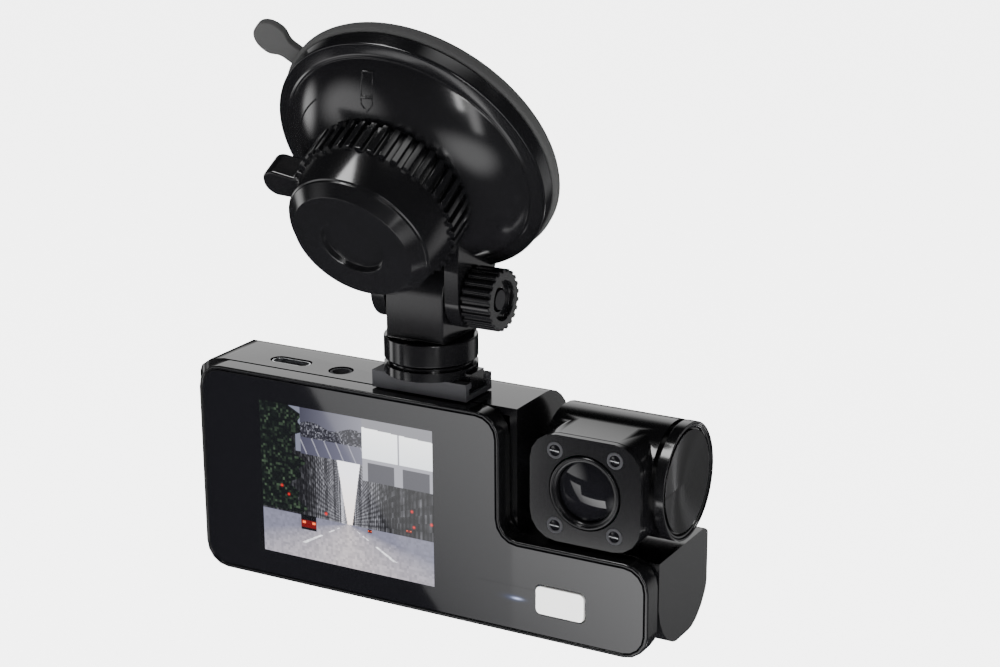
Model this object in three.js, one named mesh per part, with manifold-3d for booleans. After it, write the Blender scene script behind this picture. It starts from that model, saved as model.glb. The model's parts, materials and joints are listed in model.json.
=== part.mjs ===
// Windscreen dash camera: a suction mount that tilts and swivels, a rail, the camera body
// with its display, and a cabin camera that turns up out of a notch in the body.
//
// Millimetres, +Z up. The pieces are drawn about the middle of the display on the outer
// face of the glass, with +X to the driver's right, +Y towards the windscreen and +Z up.
// The whole is then moved so that the origin is the middle of the suction face.
import * as THREE from 'three';
import { mergeVertices } from 'three/addons/utils/BufferGeometryUtils.js';
import ManifoldModule from 'manifold-3d';

// ---------------------------------------------------------------- driving dimensions

const GAP = 0.3;                                  // between pieces that rest on each other
const OVER = 1;                                   // how far a cutter runs past a face
const FACETS = { large: 40, medium: 24, small: 12, tiny: 8, hex: 6, wire: 6 };
const ARC_STEPS = 4;                              // straight steps in a rounded corner
const ROUND_END = 0.99;                           // share of its half width that a round end takes
const WELD = 1e-4;                                // corners closer than this are one corner
const LENS_SHARES = [0, 0.3, 0.6, 0.8, 1];        // where a domed or dished face is sampled

// Flat front part of the body, seen from the front, with the notch at its upper right.
const SLAB = {
  left: -35.5, right: 67, bottom: -22.4, top: 22, thick: 4.6,
  corner: 5.2, rim: 0.85, recess: 1.2, ledge: 2.4, back: 0.8,
};
const NOTCH = { x: 35.2, z: -3.1, inner: 3.8, floor: -4, wallX: 36.5 };
const GLASS = { thick: 0.9, play: 0.12 };
const DISPLAY = { wide: 46, high: 37, front: 1.5, thick: 1.6 };
const RIBBON = { half: 6, thick: 0.25, low: -17, high: -11.4, room: 0.6 };
const BUTTON = {
  x: 48.45, z: -14.1, wide: 10.3, high: 5.7, corner: 1, play: 0.3, proud: 0.25,
  flange: 0.8, flangeFront: 1.5, flangeThick: 0.5, stem: 1.2, stemEnd: 2.15,
};
const SWITCH = { side: 4.6, front: 2.65, back: 3.15 };
const BUTTON_BOARD = { left: 34, right: 56, low: -19, high: -9, front: 3.25, back: 3.65 };
const STATUS = { x: 38.6, z: -14.9, wide: 3.4, high: 0.9, front: 0.15 };

// Rear part of the body: flat on top, round at the back and underneath.
const CASE = {
  left: -41.5, right: 67, top: 22, back: 28.4, wall: 1.6,
  shoulderY: 17, shoulderZ: 8, barrelY: 16.6, barrelZ: -12, barrelR: 11.8,
  endCorner: 9, planCorner: 5.5, planBack: 7, step: 3.4, edge: 1,
};
const BOSS = { r: 2.6, hole: 1.3, sink: 2.5, sinkDepth: 1.4, front: 20 };
const CASE_SCREW = { r: 1, head: 2, headThick: 1, long: 6 };
const CASE_SCREW_SPOTS = [[-33, -8], [-33, 5], [28.5, 5], [60, -10.5]];
const GRILLE = { x: 18.5, z: -2, slots: 5, pitch: 2.2, wide: 9, high: 1 };
const CARD = { x: -22, wide: 11.6, front: 8.6, back: 10, low: -14.4, high: -0.5, play: 0.3 };

// Electronics inside the body.
const BOARD = { front: 6.6, thick: 1.2, left: -35, right: 31, low: -12.8, high: 18.6 };
const PROCESSOR = { x: -22, z: 7, wide: 11, high: 11, thick: 1.2 };
const MEMORY = { x: 24, z: 12, wide: 8, high: 9, thick: 1 };
const BATTERY = { x: 46, wide: 21, deep: 12, high: 8, corner: 2 };
const SPEAKER = { x: 18.5, z: -2, r: 6.4, front: 22.4, back: 26.2 };
const MICROPHONE = { x: 2, z: 16, wide: 3.6, high: 2.8, thick: 1.1 };
const USB = {
  x: -19, y: 9.8, wide: 8.94, high: 3.26, wall: 0.3, deep: 7.3, play: 0.35, sink: 0.2,
  tongueWide: 6.7, tongueHigh: 0.7, tongueDeep: 5,
};
const JACK = { x: -6.5, y: 9.3, r: 2.3, bore: 1.78, deep: 12, rim: 0.3, notch: 3.2 };

// Camera that looks out at the road, in the middle of the back.
const ROAD = {
  x: 0, z: -2, r: 8, proud: 2.6, bore: 5.6, ringR: 9.2, ringThick: 1.2, lensR: 5.2,
  lensSag: 1.3, lensDeep: 2.6, front: 12, boardSide: 13, boardThick: 1,
};

// Cabin camera, which turns about the X axis.
const CABIN = {
  left: 41, right: 64.4, low: -2, high: 19.6, face: 1.7, plate: 1.2, corner: 5.6,
  y: 16.6, z: 8.9, r: 11.7, wall: 1.4, neckR: 10.5, neck: 0.7, boardY: 9, boardThick: 1,
};
const CABIN_LENS = { r: 7.3, bore: 5.7, proud: 0.5, deep: 3.6, lensR: 5.4, sag: 1.2, inset: 1 };
const CABIN_LED = { r: 1.45, spanX: 12.6, spanZ: 15.2, deep: 3, proud: 0.05 };
const CABIN_END = { thick: 2.1, recess: 0.8, rim: 1.3, discThick: 0.4 };
const AXLE = { r: 4, bore: 2.4, flange: 5.4, flangeThick: 1.2, play: 0.3 };

// Rail on top of the body and the foot that slides in it.
const RAIL = {
  left: 5, right: 26.4, front: 3, back: 13, top: 25.8, floor: 0.9, lip: 1.2,
  neck: 5.8, slot: 7.6, endWall: 2,
};
const RAIL_SCREW = { r: 0.9, head: 1.7, headThick: 1, inset: 5.2 };
const SWIVEL = { x: 15.7, y: 8, r: 9.3, foot: 26.2, disc: 1.8, neckR: 8.5, neck: 0.6 };
const DRUM = { low: 29.1, high: 33.6, socketR: 3.6, socket: 1.4 };
const SWIVEL_SCREW = { r: 1, head: 1.8, headThick: 1.1, top: 33, bore: 1.3, sink: 2.1 };
const WASHER = { r: 3.3, bore: 1.6, thick: 0.5 };

// Clamped hinge between the mount and the post.
const HINGE = { z: 42.3, r: 6.2, tongue: 6.4, earIn: 6.85, earOut: 9.85, bore: 2.3 };
const EAR = { out: 2.4, heel: 0.4, shoulder: 4.4, round: 2, reach: 20, lean: 1.4, chin: 6 };
const BOLT = { r: 2, head: 3.9, headThick: 1.5, sink: 1.9, headPlay: 0.3 };
const CLAMP = {
  r: 6.1, root: 5.6, flutes: 22, left: 10.2, right: 16.4, dish: 3.9, dishDepth: 1.1,
  nutR: 3.4, nutLeft: 11.2, nutThick: 2.4, boltEnd: 15.6,
};

// Suction mount, drawn about its own axis: r out from the axis and s along it, from the
// knob's shoulder towards the windscreen.
const CUP = { y: -17.54, z: 58.24, lean: 30.4, face: 27.6, lip: 25.1, r: 28.6 };
const BELL = {
  neckR: 15.3, neckS: 14.5, bulgeR: 21.4, bulgeS: 16.4, ringR: 24.9, ringS: 21.3,
  rimR: 27.6, rimS: 22, edgeR: 28, edgeS: 24.8, wall: 1.8, steps: 8,
};
const SPIGOT = { r: 11.6, wall: 1.8, front: 3.2, guideR: 5.4, guideBore: 3.8, guideEnd: 18.4 };
const GUIDE_START = 9.4;
const KNOB = {
  face: -2.13, faceR: 12, shoulderR: 14.2, backR: 15.5, backS: 7.1, dishR: 6.2,
  dishDepth: 0.9, inside: 1.4, bore: 12, tubeR: 8.6, tubeBore: 6.2, tubeEnd: 9,
};
const KNURL = { tip: 16.4, root: 15.6, ribs: 42, front: 7.1, back: 14, land: 0.56, flank: 0.08 };
const LEVER = { angle: 188.6, end: 24.4, half: 3.3, waist: 2.7, front: 8, back: 13.6, round: 0.86 };
const PLUNGER = { r: 3.4, front: 3.7, foot: 22.4, footR: 8, footThick: 1.5 };
const CROSS_PIN = { r: 1, half: 11, s: 6, play: 0.32 };
const LOCK = { turn: 90, pull: 1.6, cuts: 8 };
const SPRING = { r: 6.9, wire: 0.45, start: 17.1, end: 20, turns: 3, perTurn: 12 };
const PAD = { thick: 1.9, hubR: 8.6, hubS: 24.2, rimR: 25.4, seat: 24.4, round: 0.5 };
const TAB = { angle: 223.5, neck: 2.3, head: 4, start: 26.5, waist: 31, widen: 33, end: 37.8 };

const WINDSCREEN_LEAN = THREE.MathUtils.degToRad(CUP.lean);

// ---------------------------------------------------------------- materials

function finish(color, roughness, metalness = 0) {
  return () => new THREE.MeshStandardMaterial({ color, roughness, metalness });
}

const GLOSS_BLACK = finish(0x111113, 0.25);
const SATIN_BLACK = finish(0x19191b, 0.45);
const SOFT_BLACK = finish(0x1c1c1e, 0.6);
const DARK_GLASS = finish(0x060708, 0.05);
const SCREEN = finish(0x3c4650, 0.3);
const WHITE_KEY = finish(0xf0f0ee, 0.35);
const BLUE_LIGHT = finish(0x7fa8ff, 0.3);
const STEEL = finish(0xb9bcc0, 0.3, 1);
const BRASS = finish(0xc9a55a, 0.35, 1);
const BRUSHED = finish(0x8f9296, 0.3, 1);
const BOARD_GREEN = finish(0x12402a, 0.5);
const CHIP = finish(0x202124, 0.5);
const CELL = finish(0x8c9099, 0.4, 0.6);
const FLEX = finish(0xb0702a, 0.45);

// ---------------------------------------------------------------- solids and booleans

const manifold = await ManifoldModule();
manifold.setup();

function toSolid(shape) {
  if (!shape.isBufferGeometry) return shape;
  const bare = shape.clone();
  bare.deleteAttribute('normal');
  bare.deleteAttribute('uv');
  const welded = mergeVertices(bare.index ? bare.toNonIndexed() : bare, WELD);
  const corners = welded.index.array;
  const kept = [];
  for (let first = 0; first < corners.length; first += 3) {
    const [a, b, c] = corners.slice(first, first + 3);
    if (a !== b && b !== c && c !== a) kept.push(a, b, c);
  }
  const mesh = new manifold.Mesh({
    numProp: 3,
    vertProperties: Float32Array.from(welded.attributes.position.array),
    triVerts: Uint32Array.from(kept),
  });
  return new manifold.Manifold(mesh);
}

function toGeometry(shape) {
  if (shape.isBufferGeometry) return shape;
  const mesh = shape.getMesh();
  const geometry = new THREE.BufferGeometry();
  geometry.setAttribute('position', new THREE.BufferAttribute(mesh.vertProperties, mesh.numProp));
  geometry.setIndex(new THREE.BufferAttribute(mesh.triVerts, 1));
  const flat = geometry.toNonIndexed();
  flat.computeVertexNormals();
  return flat;
}

function join(...shapes) {
  return shapes.map(toSolid).reduce((whole, shape) => whole.add(shape));
}

function cut(base, ...tools) {
  return tools.map(toSolid).reduce((rest, tool) => rest.subtract(tool), toSolid(base));
}

function common(...shapes) {
  return shapes.map(toSolid).reduce((whole, shape) => whole.intersect(shape));
}

// ---------------------------------------------------------------- outlines

// Corners are [x, y, radius]; each rounded one becomes a run of short straight steps.
function filleted(corners) {
  const points = [];
  corners.forEach(([x, y, radius = 0], index) => {
    const corner = new THREE.Vector2(x, y);
    if (radius <= 0) {
      points.push(corner);
      return;
    }
    const [beforeX, beforeY] = corners[(index + corners.length - 1) % corners.length];
    const [afterX, afterY] = corners[(index + 1) % corners.length];
    const back = new THREE.Vector2(beforeX, beforeY).sub(corner).normalize();
    const on = new THREE.Vector2(afterX, afterY).sub(corner).normalize();
    const half = Math.acos(THREE.MathUtils.clamp(back.dot(on), -1, 1)) / 2;
    const middle = back.clone().add(on).normalize().multiplyScalar(radius / Math.sin(half)).add(corner);
    const first = back.clone().multiplyScalar(radius / Math.tan(half)).add(corner).sub(middle);
    const last = on.clone().multiplyScalar(radius / Math.tan(half)).add(corner).sub(middle);
    const turn = Math.atan2(first.cross(last), first.dot(last));
    for (let step = 0; step <= ARC_STEPS; step += 1) {
      const origin = new THREE.Vector2(0, 0);
      points.push(first.clone().rotateAround(origin, (turn * step) / ARC_STEPS).add(middle));
    }
  });
  return points;
}

function roundedBox(left, right, low, high, radius) {
  return filleted([
    [left, low, radius], [right, low, radius], [right, high, radius], [left, high, radius],
  ]);
}

function ring(x, y, radius, facets, startAngle = 0) {
  const points = [];
  for (let index = 0; index < facets; index += 1) {
    const angle = startAngle + (2 * Math.PI * index) / facets;
    points.push(new THREE.Vector2(x + radius * Math.cos(angle), y + radius * Math.sin(angle)));
  }
  return points;
}

function arc(x, y, radiusX, radiusY, from, to, steps) {
  const points = [];
  for (let step = 0; step <= steps; step += 1) {
    const angle = THREE.MathUtils.degToRad(from + ((to - from) * step) / steps);
    points.push(new THREE.Vector2(x + radiusX * Math.cos(angle), y + radiusY * Math.sin(angle)));
  }
  return points;
}

// A wheel-like outline with square ribs, used for the knurl and the fluted clamp knob.
function ribbed(root, tip, ribs, land, flank) {
  const points = [];
  const pitch = (2 * Math.PI) / ribs;
  for (let rib = 0; rib < ribs; rib += 1) {
    const start = rib * pitch;
    const stops = [[root, 0], [tip, flank], [tip, land - flank], [root, land]];
    for (const [radius, share] of stops) {
      const angle = start + share * pitch;
      points.push(new THREE.Vector2(radius * Math.cos(angle), radius * Math.sin(angle)));
    }
  }
  return points;
}

// ---------------------------------------------------------------- extrusions and turnings

function slab(outline, depth, holes = []) {
  const shape = new THREE.Shape(outline);
  shape.holes = holes.map((hole) => new THREE.Path(hole));
  return new THREE.ExtrudeGeometry(shape, { depth, bevelEnabled: false, steps: 1 });
}

// An outline in (x, y), from z = low to z = high.
function alongZ(outline, low, high, holes) {
  return slab(outline, high - low, holes).translate(0, 0, low);
}

// An outline in (x, z), from y = front to y = back.
function alongY(outline, front, back, holes) {
  return slab(outline, back - front, holes).rotateX(Math.PI / 2).translate(0, back, 0);
}

// An outline in (y, z), from x = left to x = right.
function alongX(outline, left, right, holes) {
  const axes = new THREE.Matrix4().makeBasis(
    new THREE.Vector3(0, 1, 0), new THREE.Vector3(0, 0, 1), new THREE.Vector3(1, 0, 0),
  );
  return slab(outline, right - left, holes).applyMatrix4(axes).translate(left, 0, 0);
}

function block(left, right, front, back, low, high) {
  const box = new THREE.BoxGeometry(right - left, back - front, high - low);
  return box.translate((left + right) / 2, (front + back) / 2, (low + high) / 2);
}

// A closed profile of [r, z] turned about the Z axis.
function turned(profile, facets) {
  const area = THREE.ShapeUtils.area(profile.map(([r, z]) => new THREE.Vector2(r, z)));
  const ordered = area > 0 ? profile : [...profile].reverse();
  const points = ordered.map(([r, z]) => new THREE.Vector2(r, z));
  const onAxis = points.findIndex((point) => point.x === 0);
  if (onAxis < 0) points.push(points[0].clone());
  return new THREE.LatheGeometry(points, facets).rotateX(Math.PI / 2);
}

// A turned profile of [r, along] laid along X or Y, starting at the given place.
function turnedAlongX(profile, x, y, z, facets) {
  return turned(profile, facets).rotateY(Math.PI / 2).translate(x, y, z);
}

function turnedAlongY(profile, x, y, z, facets) {
  return turned(profile, facets).rotateX(-Math.PI / 2).translate(x, y, z);
}

// ---------------------------------------------------------------- the scene graph

const assembly = new THREE.Group();
const cup = new THREE.Group();
cup.position.set(SWIVEL.x, CUP.y, CUP.z);
cup.rotation.x = WINDSCREEN_LEAN - Math.PI / 2;
cup.updateMatrix();
assembly.add(cup);

function add(name, shape, material, parent = assembly) {
  const mesh = new THREE.Mesh(toGeometry(shape), material());
  mesh.name = name;
  parent.add(mesh);
}

// ---------------------------------------------------------------- suction mount

function bellCurve(inset) {
  const curve = new THREE.QuadraticBezierCurve(
    new THREE.Vector2(BELL.neckR - inset, BELL.neckS + inset),
    new THREE.Vector2(BELL.bulgeR - inset, BELL.bulgeS + inset),
    new THREE.Vector2(BELL.ringR - inset, BELL.ringS + inset),
  );
  return curve.getPoints(BELL.steps).map((point) => [point.x, point.y]);
}

function cupShell() {
  const spigotInside = SPIGOT.r - SPIGOT.wall;
  const wallBack = BELL.neckS + BELL.wall;
  return turned([
    [SPIGOT.r, SPIGOT.front], [SPIGOT.r, BELL.neckS],
    ...bellCurve(0),
    [BELL.rimR, BELL.rimS], [BELL.edgeR, BELL.edgeS],
    [BELL.edgeR - BELL.wall, BELL.edgeS], [BELL.rimR - BELL.wall, BELL.rimS + BELL.wall],
    ...bellCurve(BELL.wall).reverse(),
    [SPIGOT.guideR, wallBack], [SPIGOT.guideR, SPIGOT.guideEnd],
    [SPIGOT.guideBore, SPIGOT.guideEnd], [SPIGOT.guideBore, GUIDE_START],
    [SPIGOT.guideR, GUIDE_START], [SPIGOT.guideR, BELL.neckS],
    [spigotInside, BELL.neckS], [spigotInside, SPIGOT.front],
  ], FACETS.large);
}

// Everything the ears must stay out of: the knob's room and the hollow of the bell.
function cupHollow() {
  const knobRoom = KNURL.tip + OVER / 2;
  return turned([
    [0, KNOB.face - KNURL.tip], [knobRoom, KNOB.face - KNURL.tip], [knobRoom, BELL.neckS - GAP],
    [SPIGOT.r, BELL.neckS - GAP], [SPIGOT.r, BELL.neckS + BELL.wall / 2],
    ...bellCurve(BELL.wall / 2),
    [BELL.rimR - BELL.wall / 2, BELL.rimS + BELL.wall / 2], [BELL.edgeR - BELL.wall / 2, BELL.edgeS],
    [KNURL.tip + BELL.edgeR, BELL.edgeS], [KNURL.tip + BELL.edgeR, BELL.edgeS + KNURL.tip],
    [0, BELL.edgeS + KNURL.tip],
  ], FACETS.large);
}

function earOutline() {
  const front = SWIVEL.y - HINGE.r;
  const back = SWIVEL.y + HINGE.r + EAR.out;
  return filleted([
    [front, HINGE.z - HINGE.r, HINGE.r * ROUND_END],
    [SWIVEL.y + HINGE.r, HINGE.z - HINGE.r, HINGE.r * ROUND_END],
    [SWIVEL.y + HINGE.r, HINGE.z + EAR.heel],
    [back, HINGE.z + EAR.shoulder, EAR.round],
    [back, HINGE.z + EAR.reach],
    [front + EAR.lean, HINGE.z + EAR.reach],
    [front, HINGE.z + EAR.chin, EAR.round],
  ]);
}

function ears() {
  const left = alongX(earOutline(), SWIVEL.x - HINGE.earOut, SWIVEL.x - HINGE.earIn);
  const right = alongX(earOutline(), SWIVEL.x + HINGE.earIn, SWIVEL.x + HINGE.earOut);
  const bore = alongX(
    ring(SWIVEL.y, HINGE.z, HINGE.bore, FACETS.small),
    SWIVEL.x - HINGE.earOut - OVER, SWIVEL.x + HINGE.earOut + OVER,
  );
  const headRoom = alongX(
    ring(SWIVEL.y, HINGE.z, BOLT.head + BOLT.headPlay, FACETS.hex),
    SWIVEL.x - HINGE.earOut - OVER, SWIVEL.x - HINGE.earOut + BOLT.sink,
  );
  return cut(join(left, right), bore, headRoom);
}

function cupHousing() {
  const intoCup = cup.matrix.clone().invert();
  const ownEars = toSolid(toGeometry(ears()).applyMatrix4(intoCup));
  const pinSlot = block(
    -SPIGOT.r - OVER, SPIGOT.r + OVER,
    -CROSS_PIN.r - CROSS_PIN.play, CROSS_PIN.r + CROSS_PIN.play,
    SPIGOT.front - OVER, CROSS_PIN.s + CROSS_PIN.r + CROSS_PIN.play,
  );
  const earsInPlace = cut(ownEars, cupHollow());
  return cut(join(cupShell(), earsInPlace), pinSlot);
}

function suctionPad() {
  const disc = turned([
    [0, PAD.hubS], [PAD.hubR, PAD.hubS], [PAD.hubR + PAD.round, CUP.face - PAD.thick],
    [PAD.seat, CUP.face - PAD.thick], [PAD.rimR, CUP.lip], [CUP.r - PAD.round, CUP.lip],
    [CUP.r, CUP.lip + PAD.round], [CUP.r, CUP.face - PAD.round],
    [CUP.r - PAD.round, CUP.face], [0, CUP.face],
  ], FACETS.large);
  const outline = filleted([
    [TAB.start, -TAB.neck], [TAB.waist, -TAB.neck, TAB.neck], [TAB.widen, -TAB.head, TAB.neck],
    [TAB.end, -TAB.head, TAB.head - PAD.round], [TAB.end, TAB.head, TAB.head - PAD.round],
    [TAB.widen, TAB.head, TAB.neck], [TAB.waist, TAB.neck, TAB.neck], [TAB.start, TAB.neck],
  ]);
  const tab = alongZ(outline, CUP.lip + PAD.round, CUP.face - PAD.round);
  tab.rotateZ(THREE.MathUtils.degToRad(TAB.angle));
  return join(disc, tab);
}

class Coil extends THREE.Curve {
  getPoint(share, target = new THREE.Vector3()) {
    const angle = 2 * Math.PI * SPRING.turns * share;
    const s = SPRING.start + (SPRING.end - SPRING.start) * share;
    return target.set(SPRING.r * Math.cos(angle), SPRING.r * Math.sin(angle), s);
  }
}

function releaseSpring() {
  const section = new THREE.Shape(ring(0, 0, SPRING.wire, FACETS.wire));
  const steps = SPRING.turns * SPRING.perTurn;
  return new THREE.ExtrudeGeometry(section, { extrudePath: new Coil(), steps, bevelEnabled: false });
}

function plungerStem() {
  const stem = turned([
    [0, PLUNGER.front], [PLUNGER.r, PLUNGER.front], [PLUNGER.r, PLUNGER.foot],
    [PLUNGER.footR, PLUNGER.foot], [PLUNGER.footR, PLUNGER.foot + PLUNGER.footThick],
    [0, PLUNGER.foot + PLUNGER.footThick],
  ], FACETS.medium);
  const hole = alongX(
    ring(0, CROSS_PIN.s, CROSS_PIN.r + GAP, FACETS.tiny), -PLUNGER.r - OVER, PLUNGER.r + OVER,
  );
  return cut(stem, hole);
}

function crossPin() {
  return alongX(ring(0, CROSS_PIN.s, CROSS_PIN.r, FACETS.tiny), -CROSS_PIN.half, CROSS_PIN.half);
}

// The way the cross pin takes through the knob's inner tube as the knob turns.
function camSlots() {
  const slots = [];
  for (let step = 0; step <= LOCK.cuts; step += 1) {
    const share = step / LOCK.cuts;
    const s = CROSS_PIN.s - LOCK.pull * share;
    const reach = KNOB.tubeR + OVER;
    const pin = alongX(ring(0, s, CROSS_PIN.r + CROSS_PIN.play, FACETS.tiny), -reach, reach);
    slots.push(pin.rotateZ(-THREE.MathUtils.degToRad(LOCK.turn * share)));
  }
  return slots;
}

function lockKnob() {
  const dishR = (KNOB.dishR ** 2 + KNOB.dishDepth ** 2) / (2 * KNOB.dishDepth);
  const dish = LENS_SHARES.map((share) => {
    const r = KNOB.dishR * share;
    return [r, KNOB.face + KNOB.dishDepth - (dishR - Math.sqrt(dishR ** 2 - r ** 2))];
  });
  const body = turned([
    ...dish, [KNOB.faceR, KNOB.face], [KNOB.shoulderR, 0], [KNOB.backR, KNOB.backS],
    [KNURL.root - GAP, KNURL.back], [KNOB.bore, KNURL.back], [KNOB.bore, KNOB.inside],
    [KNOB.tubeR, KNOB.inside], [KNOB.tubeR, KNOB.tubeEnd], [KNOB.tubeBore, KNOB.tubeEnd],
    [KNOB.tubeBore, KNOB.inside], [0, KNOB.inside],
  ], FACETS.large);
  const knurl = alongZ(
    ribbed(KNURL.root, KNURL.tip, KNURL.ribs, KNURL.land, KNURL.flank),
    KNURL.front, KNURL.back, [ring(0, 0, KNOB.bore + OVER, FACETS.large)],
  );
  const lever = alongZ(filleted([
    [KNOB.bore + OVER, -LEVER.half], [KNURL.tip + OVER, -LEVER.waist, OVER],
    [LEVER.end, -LEVER.half, LEVER.half * LEVER.round], [LEVER.end, LEVER.half, LEVER.half * LEVER.round],
    [KNURL.tip + OVER, LEVER.waist, OVER], [KNOB.bore + OVER, LEVER.half],
  ]), LEVER.front, LEVER.back);
  lever.rotateZ(THREE.MathUtils.degToRad(LEVER.angle));
  return cut(join(body, knurl, lever), ...camSlots());
}

function addSuctionMount() {
  add('cup_housing', cupHousing(), GLOSS_BLACK, cup);
  add('suction_pad', suctionPad(), SOFT_BLACK, cup);
  add('release_spring', releaseSpring(), STEEL, cup);
  add('plunger_stem', plungerStem(), SATIN_BLACK, cup);
  add('cross_pin', crossPin(), STEEL, cup);
  add('lock_knob', lockKnob(), GLOSS_BLACK, cup);
}

// ---------------------------------------------------------------- clamped hinge

function clampBolt() {
  const headLeft = SWIVEL.x - HINGE.earOut + BOLT.sink - GAP - BOLT.headThick;
  const head = alongX(ring(SWIVEL.y, HINGE.z, BOLT.head, FACETS.hex), headLeft, headLeft + BOLT.headThick);
  const shank = alongX(
    ring(SWIVEL.y, HINGE.z, BOLT.r, FACETS.small), headLeft + BOLT.headThick / 2, SWIVEL.x + CLAMP.boltEnd,
  );
  return join(head, shank);
}

function clampKnob() {
  const grip = alongX(
    ribbed(CLAMP.root, CLAMP.r, CLAMP.flutes, KNURL.land, KNURL.flank), CLAMP.left, CLAMP.right,
    [ring(0, 0, HINGE.bore, FACETS.small)],
  );
  const dish = alongX(
    ring(0, 0, CLAMP.dish, FACETS.medium), CLAMP.right - CLAMP.dishDepth, CLAMP.right + OVER,
  );
  const nutRoom = alongX(
    ring(0, 0, CLAMP.nutR + GAP, FACETS.hex), CLAMP.left - OVER, CLAMP.nutLeft + CLAMP.nutThick + GAP,
  );
  return toGeometry(cut(grip, dish, nutRoom)).translate(SWIVEL.x, SWIVEL.y, HINGE.z);
}

function clampNut() {
  const nut = alongX(
    ring(0, 0, CLAMP.nutR, FACETS.hex), CLAMP.nutLeft, CLAMP.nutLeft + CLAMP.nutThick,
    [ring(0, 0, HINGE.bore, FACETS.small)],
  );
  return nut.translate(SWIVEL.x, SWIVEL.y, HINGE.z);
}

function swivelPost() {
  const drum = alongZ(ring(SWIVEL.x, SWIVEL.y, SWIVEL.r, FACETS.large), DRUM.low, DRUM.high);
  const tongue = alongX(filleted([
    [SWIVEL.y - HINGE.r, DRUM.high - OVER], [SWIVEL.y + HINGE.r, DRUM.high - OVER],
    [SWIVEL.y + HINGE.r, HINGE.z + HINGE.r, HINGE.r * ROUND_END],
    [SWIVEL.y - HINGE.r, HINGE.z + HINGE.r, HINGE.r * ROUND_END],
  ]), SWIVEL.x - HINGE.tongue, SWIVEL.x + HINGE.tongue);
  const bore = alongX(
    ring(SWIVEL.y, HINGE.z, HINGE.bore, FACETS.small),
    SWIVEL.x - HINGE.tongue - OVER, SWIVEL.x + HINGE.tongue + OVER,
  );
  const socket = alongZ(
    ring(SWIVEL.x, SWIVEL.y, DRUM.socketR, FACETS.small), DRUM.low - OVER, DRUM.low + DRUM.socket,
  );
  const thread = alongZ(
    ring(SWIVEL.x, SWIVEL.y, SWIVEL_SCREW.bore, FACETS.tiny), DRUM.low, SWIVEL_SCREW.top + GAP,
  );
  return cut(join(drum, tongue), bore, socket, thread);
}

function swivelScrew() {
  const low = RAIL.top - RAIL.lip - RAIL.floor - GAP / 2;
  const screw = turned([
    [0, low], [SWIVEL_SCREW.head, low], [SWIVEL_SCREW.head, low + SWIVEL_SCREW.headThick],
    [SWIVEL_SCREW.r, low + SWIVEL_SCREW.headThick], [SWIVEL_SCREW.r, SWIVEL_SCREW.top],
    [0, SWIVEL_SCREW.top],
  ], FACETS.small);
  return screw.translate(SWIVEL.x, SWIVEL.y, 0);
}

function frictionWasher() {
  const low = DRUM.low + DRUM.socket - GAP - WASHER.thick;
  return alongZ(
    ring(SWIVEL.x, SWIVEL.y, WASHER.r, FACETS.small), low, low + WASHER.thick,
    [ring(SWIVEL.x, SWIVEL.y, WASHER.bore, FACETS.small)],
  );
}

function mountFoot() {
  const neckHalf = RAIL.neck / 2 - GAP;
  const plateHalf = RAIL.slot / 2 - GAP;
  const plateLow = RAIL.top - RAIL.lip - RAIL.floor - GAP / 2;
  const plateHigh = RAIL.top - RAIL.lip - GAP;
  const left = RAIL.left + RAIL.endWall + GAP;
  const right = RAIL.right - GAP;
  const discTop = SWIVEL.foot + SWIVEL.disc;
  const collarTop = discTop + SWIVEL.neck;
  const disc = alongZ(ring(SWIVEL.x, SWIVEL.y, SWIVEL.r, FACETS.large), SWIVEL.foot, discTop);
  const collar = alongZ(
    ring(SWIVEL.x, SWIVEL.y, SWIVEL.neckR, FACETS.large), SWIVEL.foot, collarTop,
  );
  const neck = block(left, right, SWIVEL.y - neckHalf, SWIVEL.y + neckHalf, plateLow, SWIVEL.foot + OVER);
  const plate = block(left, right, SWIVEL.y - plateHalf, SWIVEL.y + plateHalf, plateLow, plateHigh);
  const bore = alongZ(
    ring(SWIVEL.x, SWIVEL.y, SWIVEL_SCREW.bore, FACETS.small), plateLow - OVER, collarTop + OVER,
  );
  const sink = alongZ(
    ring(SWIVEL.x, SWIVEL.y, SWIVEL_SCREW.sink, FACETS.small),
    plateLow - OVER, plateLow + SWIVEL_SCREW.headThick + GAP,
  );
  return cut(join(disc, collar, neck, plate), bore, sink);
}

function addHinge() {
  add('clamp_bolt', clampBolt(), STEEL);
  add('clamp_knob', clampKnob(), GLOSS_BLACK);
  add('clamp_nut', clampNut(), BRASS);
  add('swivel_post', swivelPost(), GLOSS_BLACK);
  add('swivel_screw', swivelScrew(), STEEL);
  add('friction_washer', frictionWasher(), SATIN_BLACK);
  add('mount_foot', mountFoot(), GLOSS_BLACK);
}

// ---------------------------------------------------------------- front of the body

// The L-shaped outline of the front, drawn smaller all round by inset.
function frontOutline(inset) {
  const outer = Math.max(SLAB.corner - inset, GAP);
  const [left, right] = [SLAB.left + inset, SLAB.right - inset];
  const [low, high] = [SLAB.bottom + inset, SLAB.top - inset];
  return filleted([
    [left, low, outer], [right, low, outer], [right, NOTCH.z - inset, outer],
    [NOTCH.x - inset, NOTCH.z - inset, NOTCH.inner + inset], [NOTCH.x - inset, high, outer],
    [left, high, outer],
  ]);
}

function buttonOutline(grow) {
  const halfWide = BUTTON.wide / 2 + grow;
  const halfHigh = BUTTON.high / 2 + grow;
  return roundedBox(
    BUTTON.x - halfWide, BUTTON.x + halfWide, BUTTON.z - halfHigh, BUTTON.z + halfHigh,
    BUTTON.corner + grow,
  );
}

function statusOutline(grow) {
  const [halfWide, halfHigh] = [STATUS.wide / 2 + grow, STATUS.high / 2 + grow];
  return roundedBox(
    STATUS.x - halfWide, STATUS.x + halfWide, STATUS.z - halfHigh, STATUS.z + halfHigh,
    halfHigh * ROUND_END,
  );
}

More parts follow.
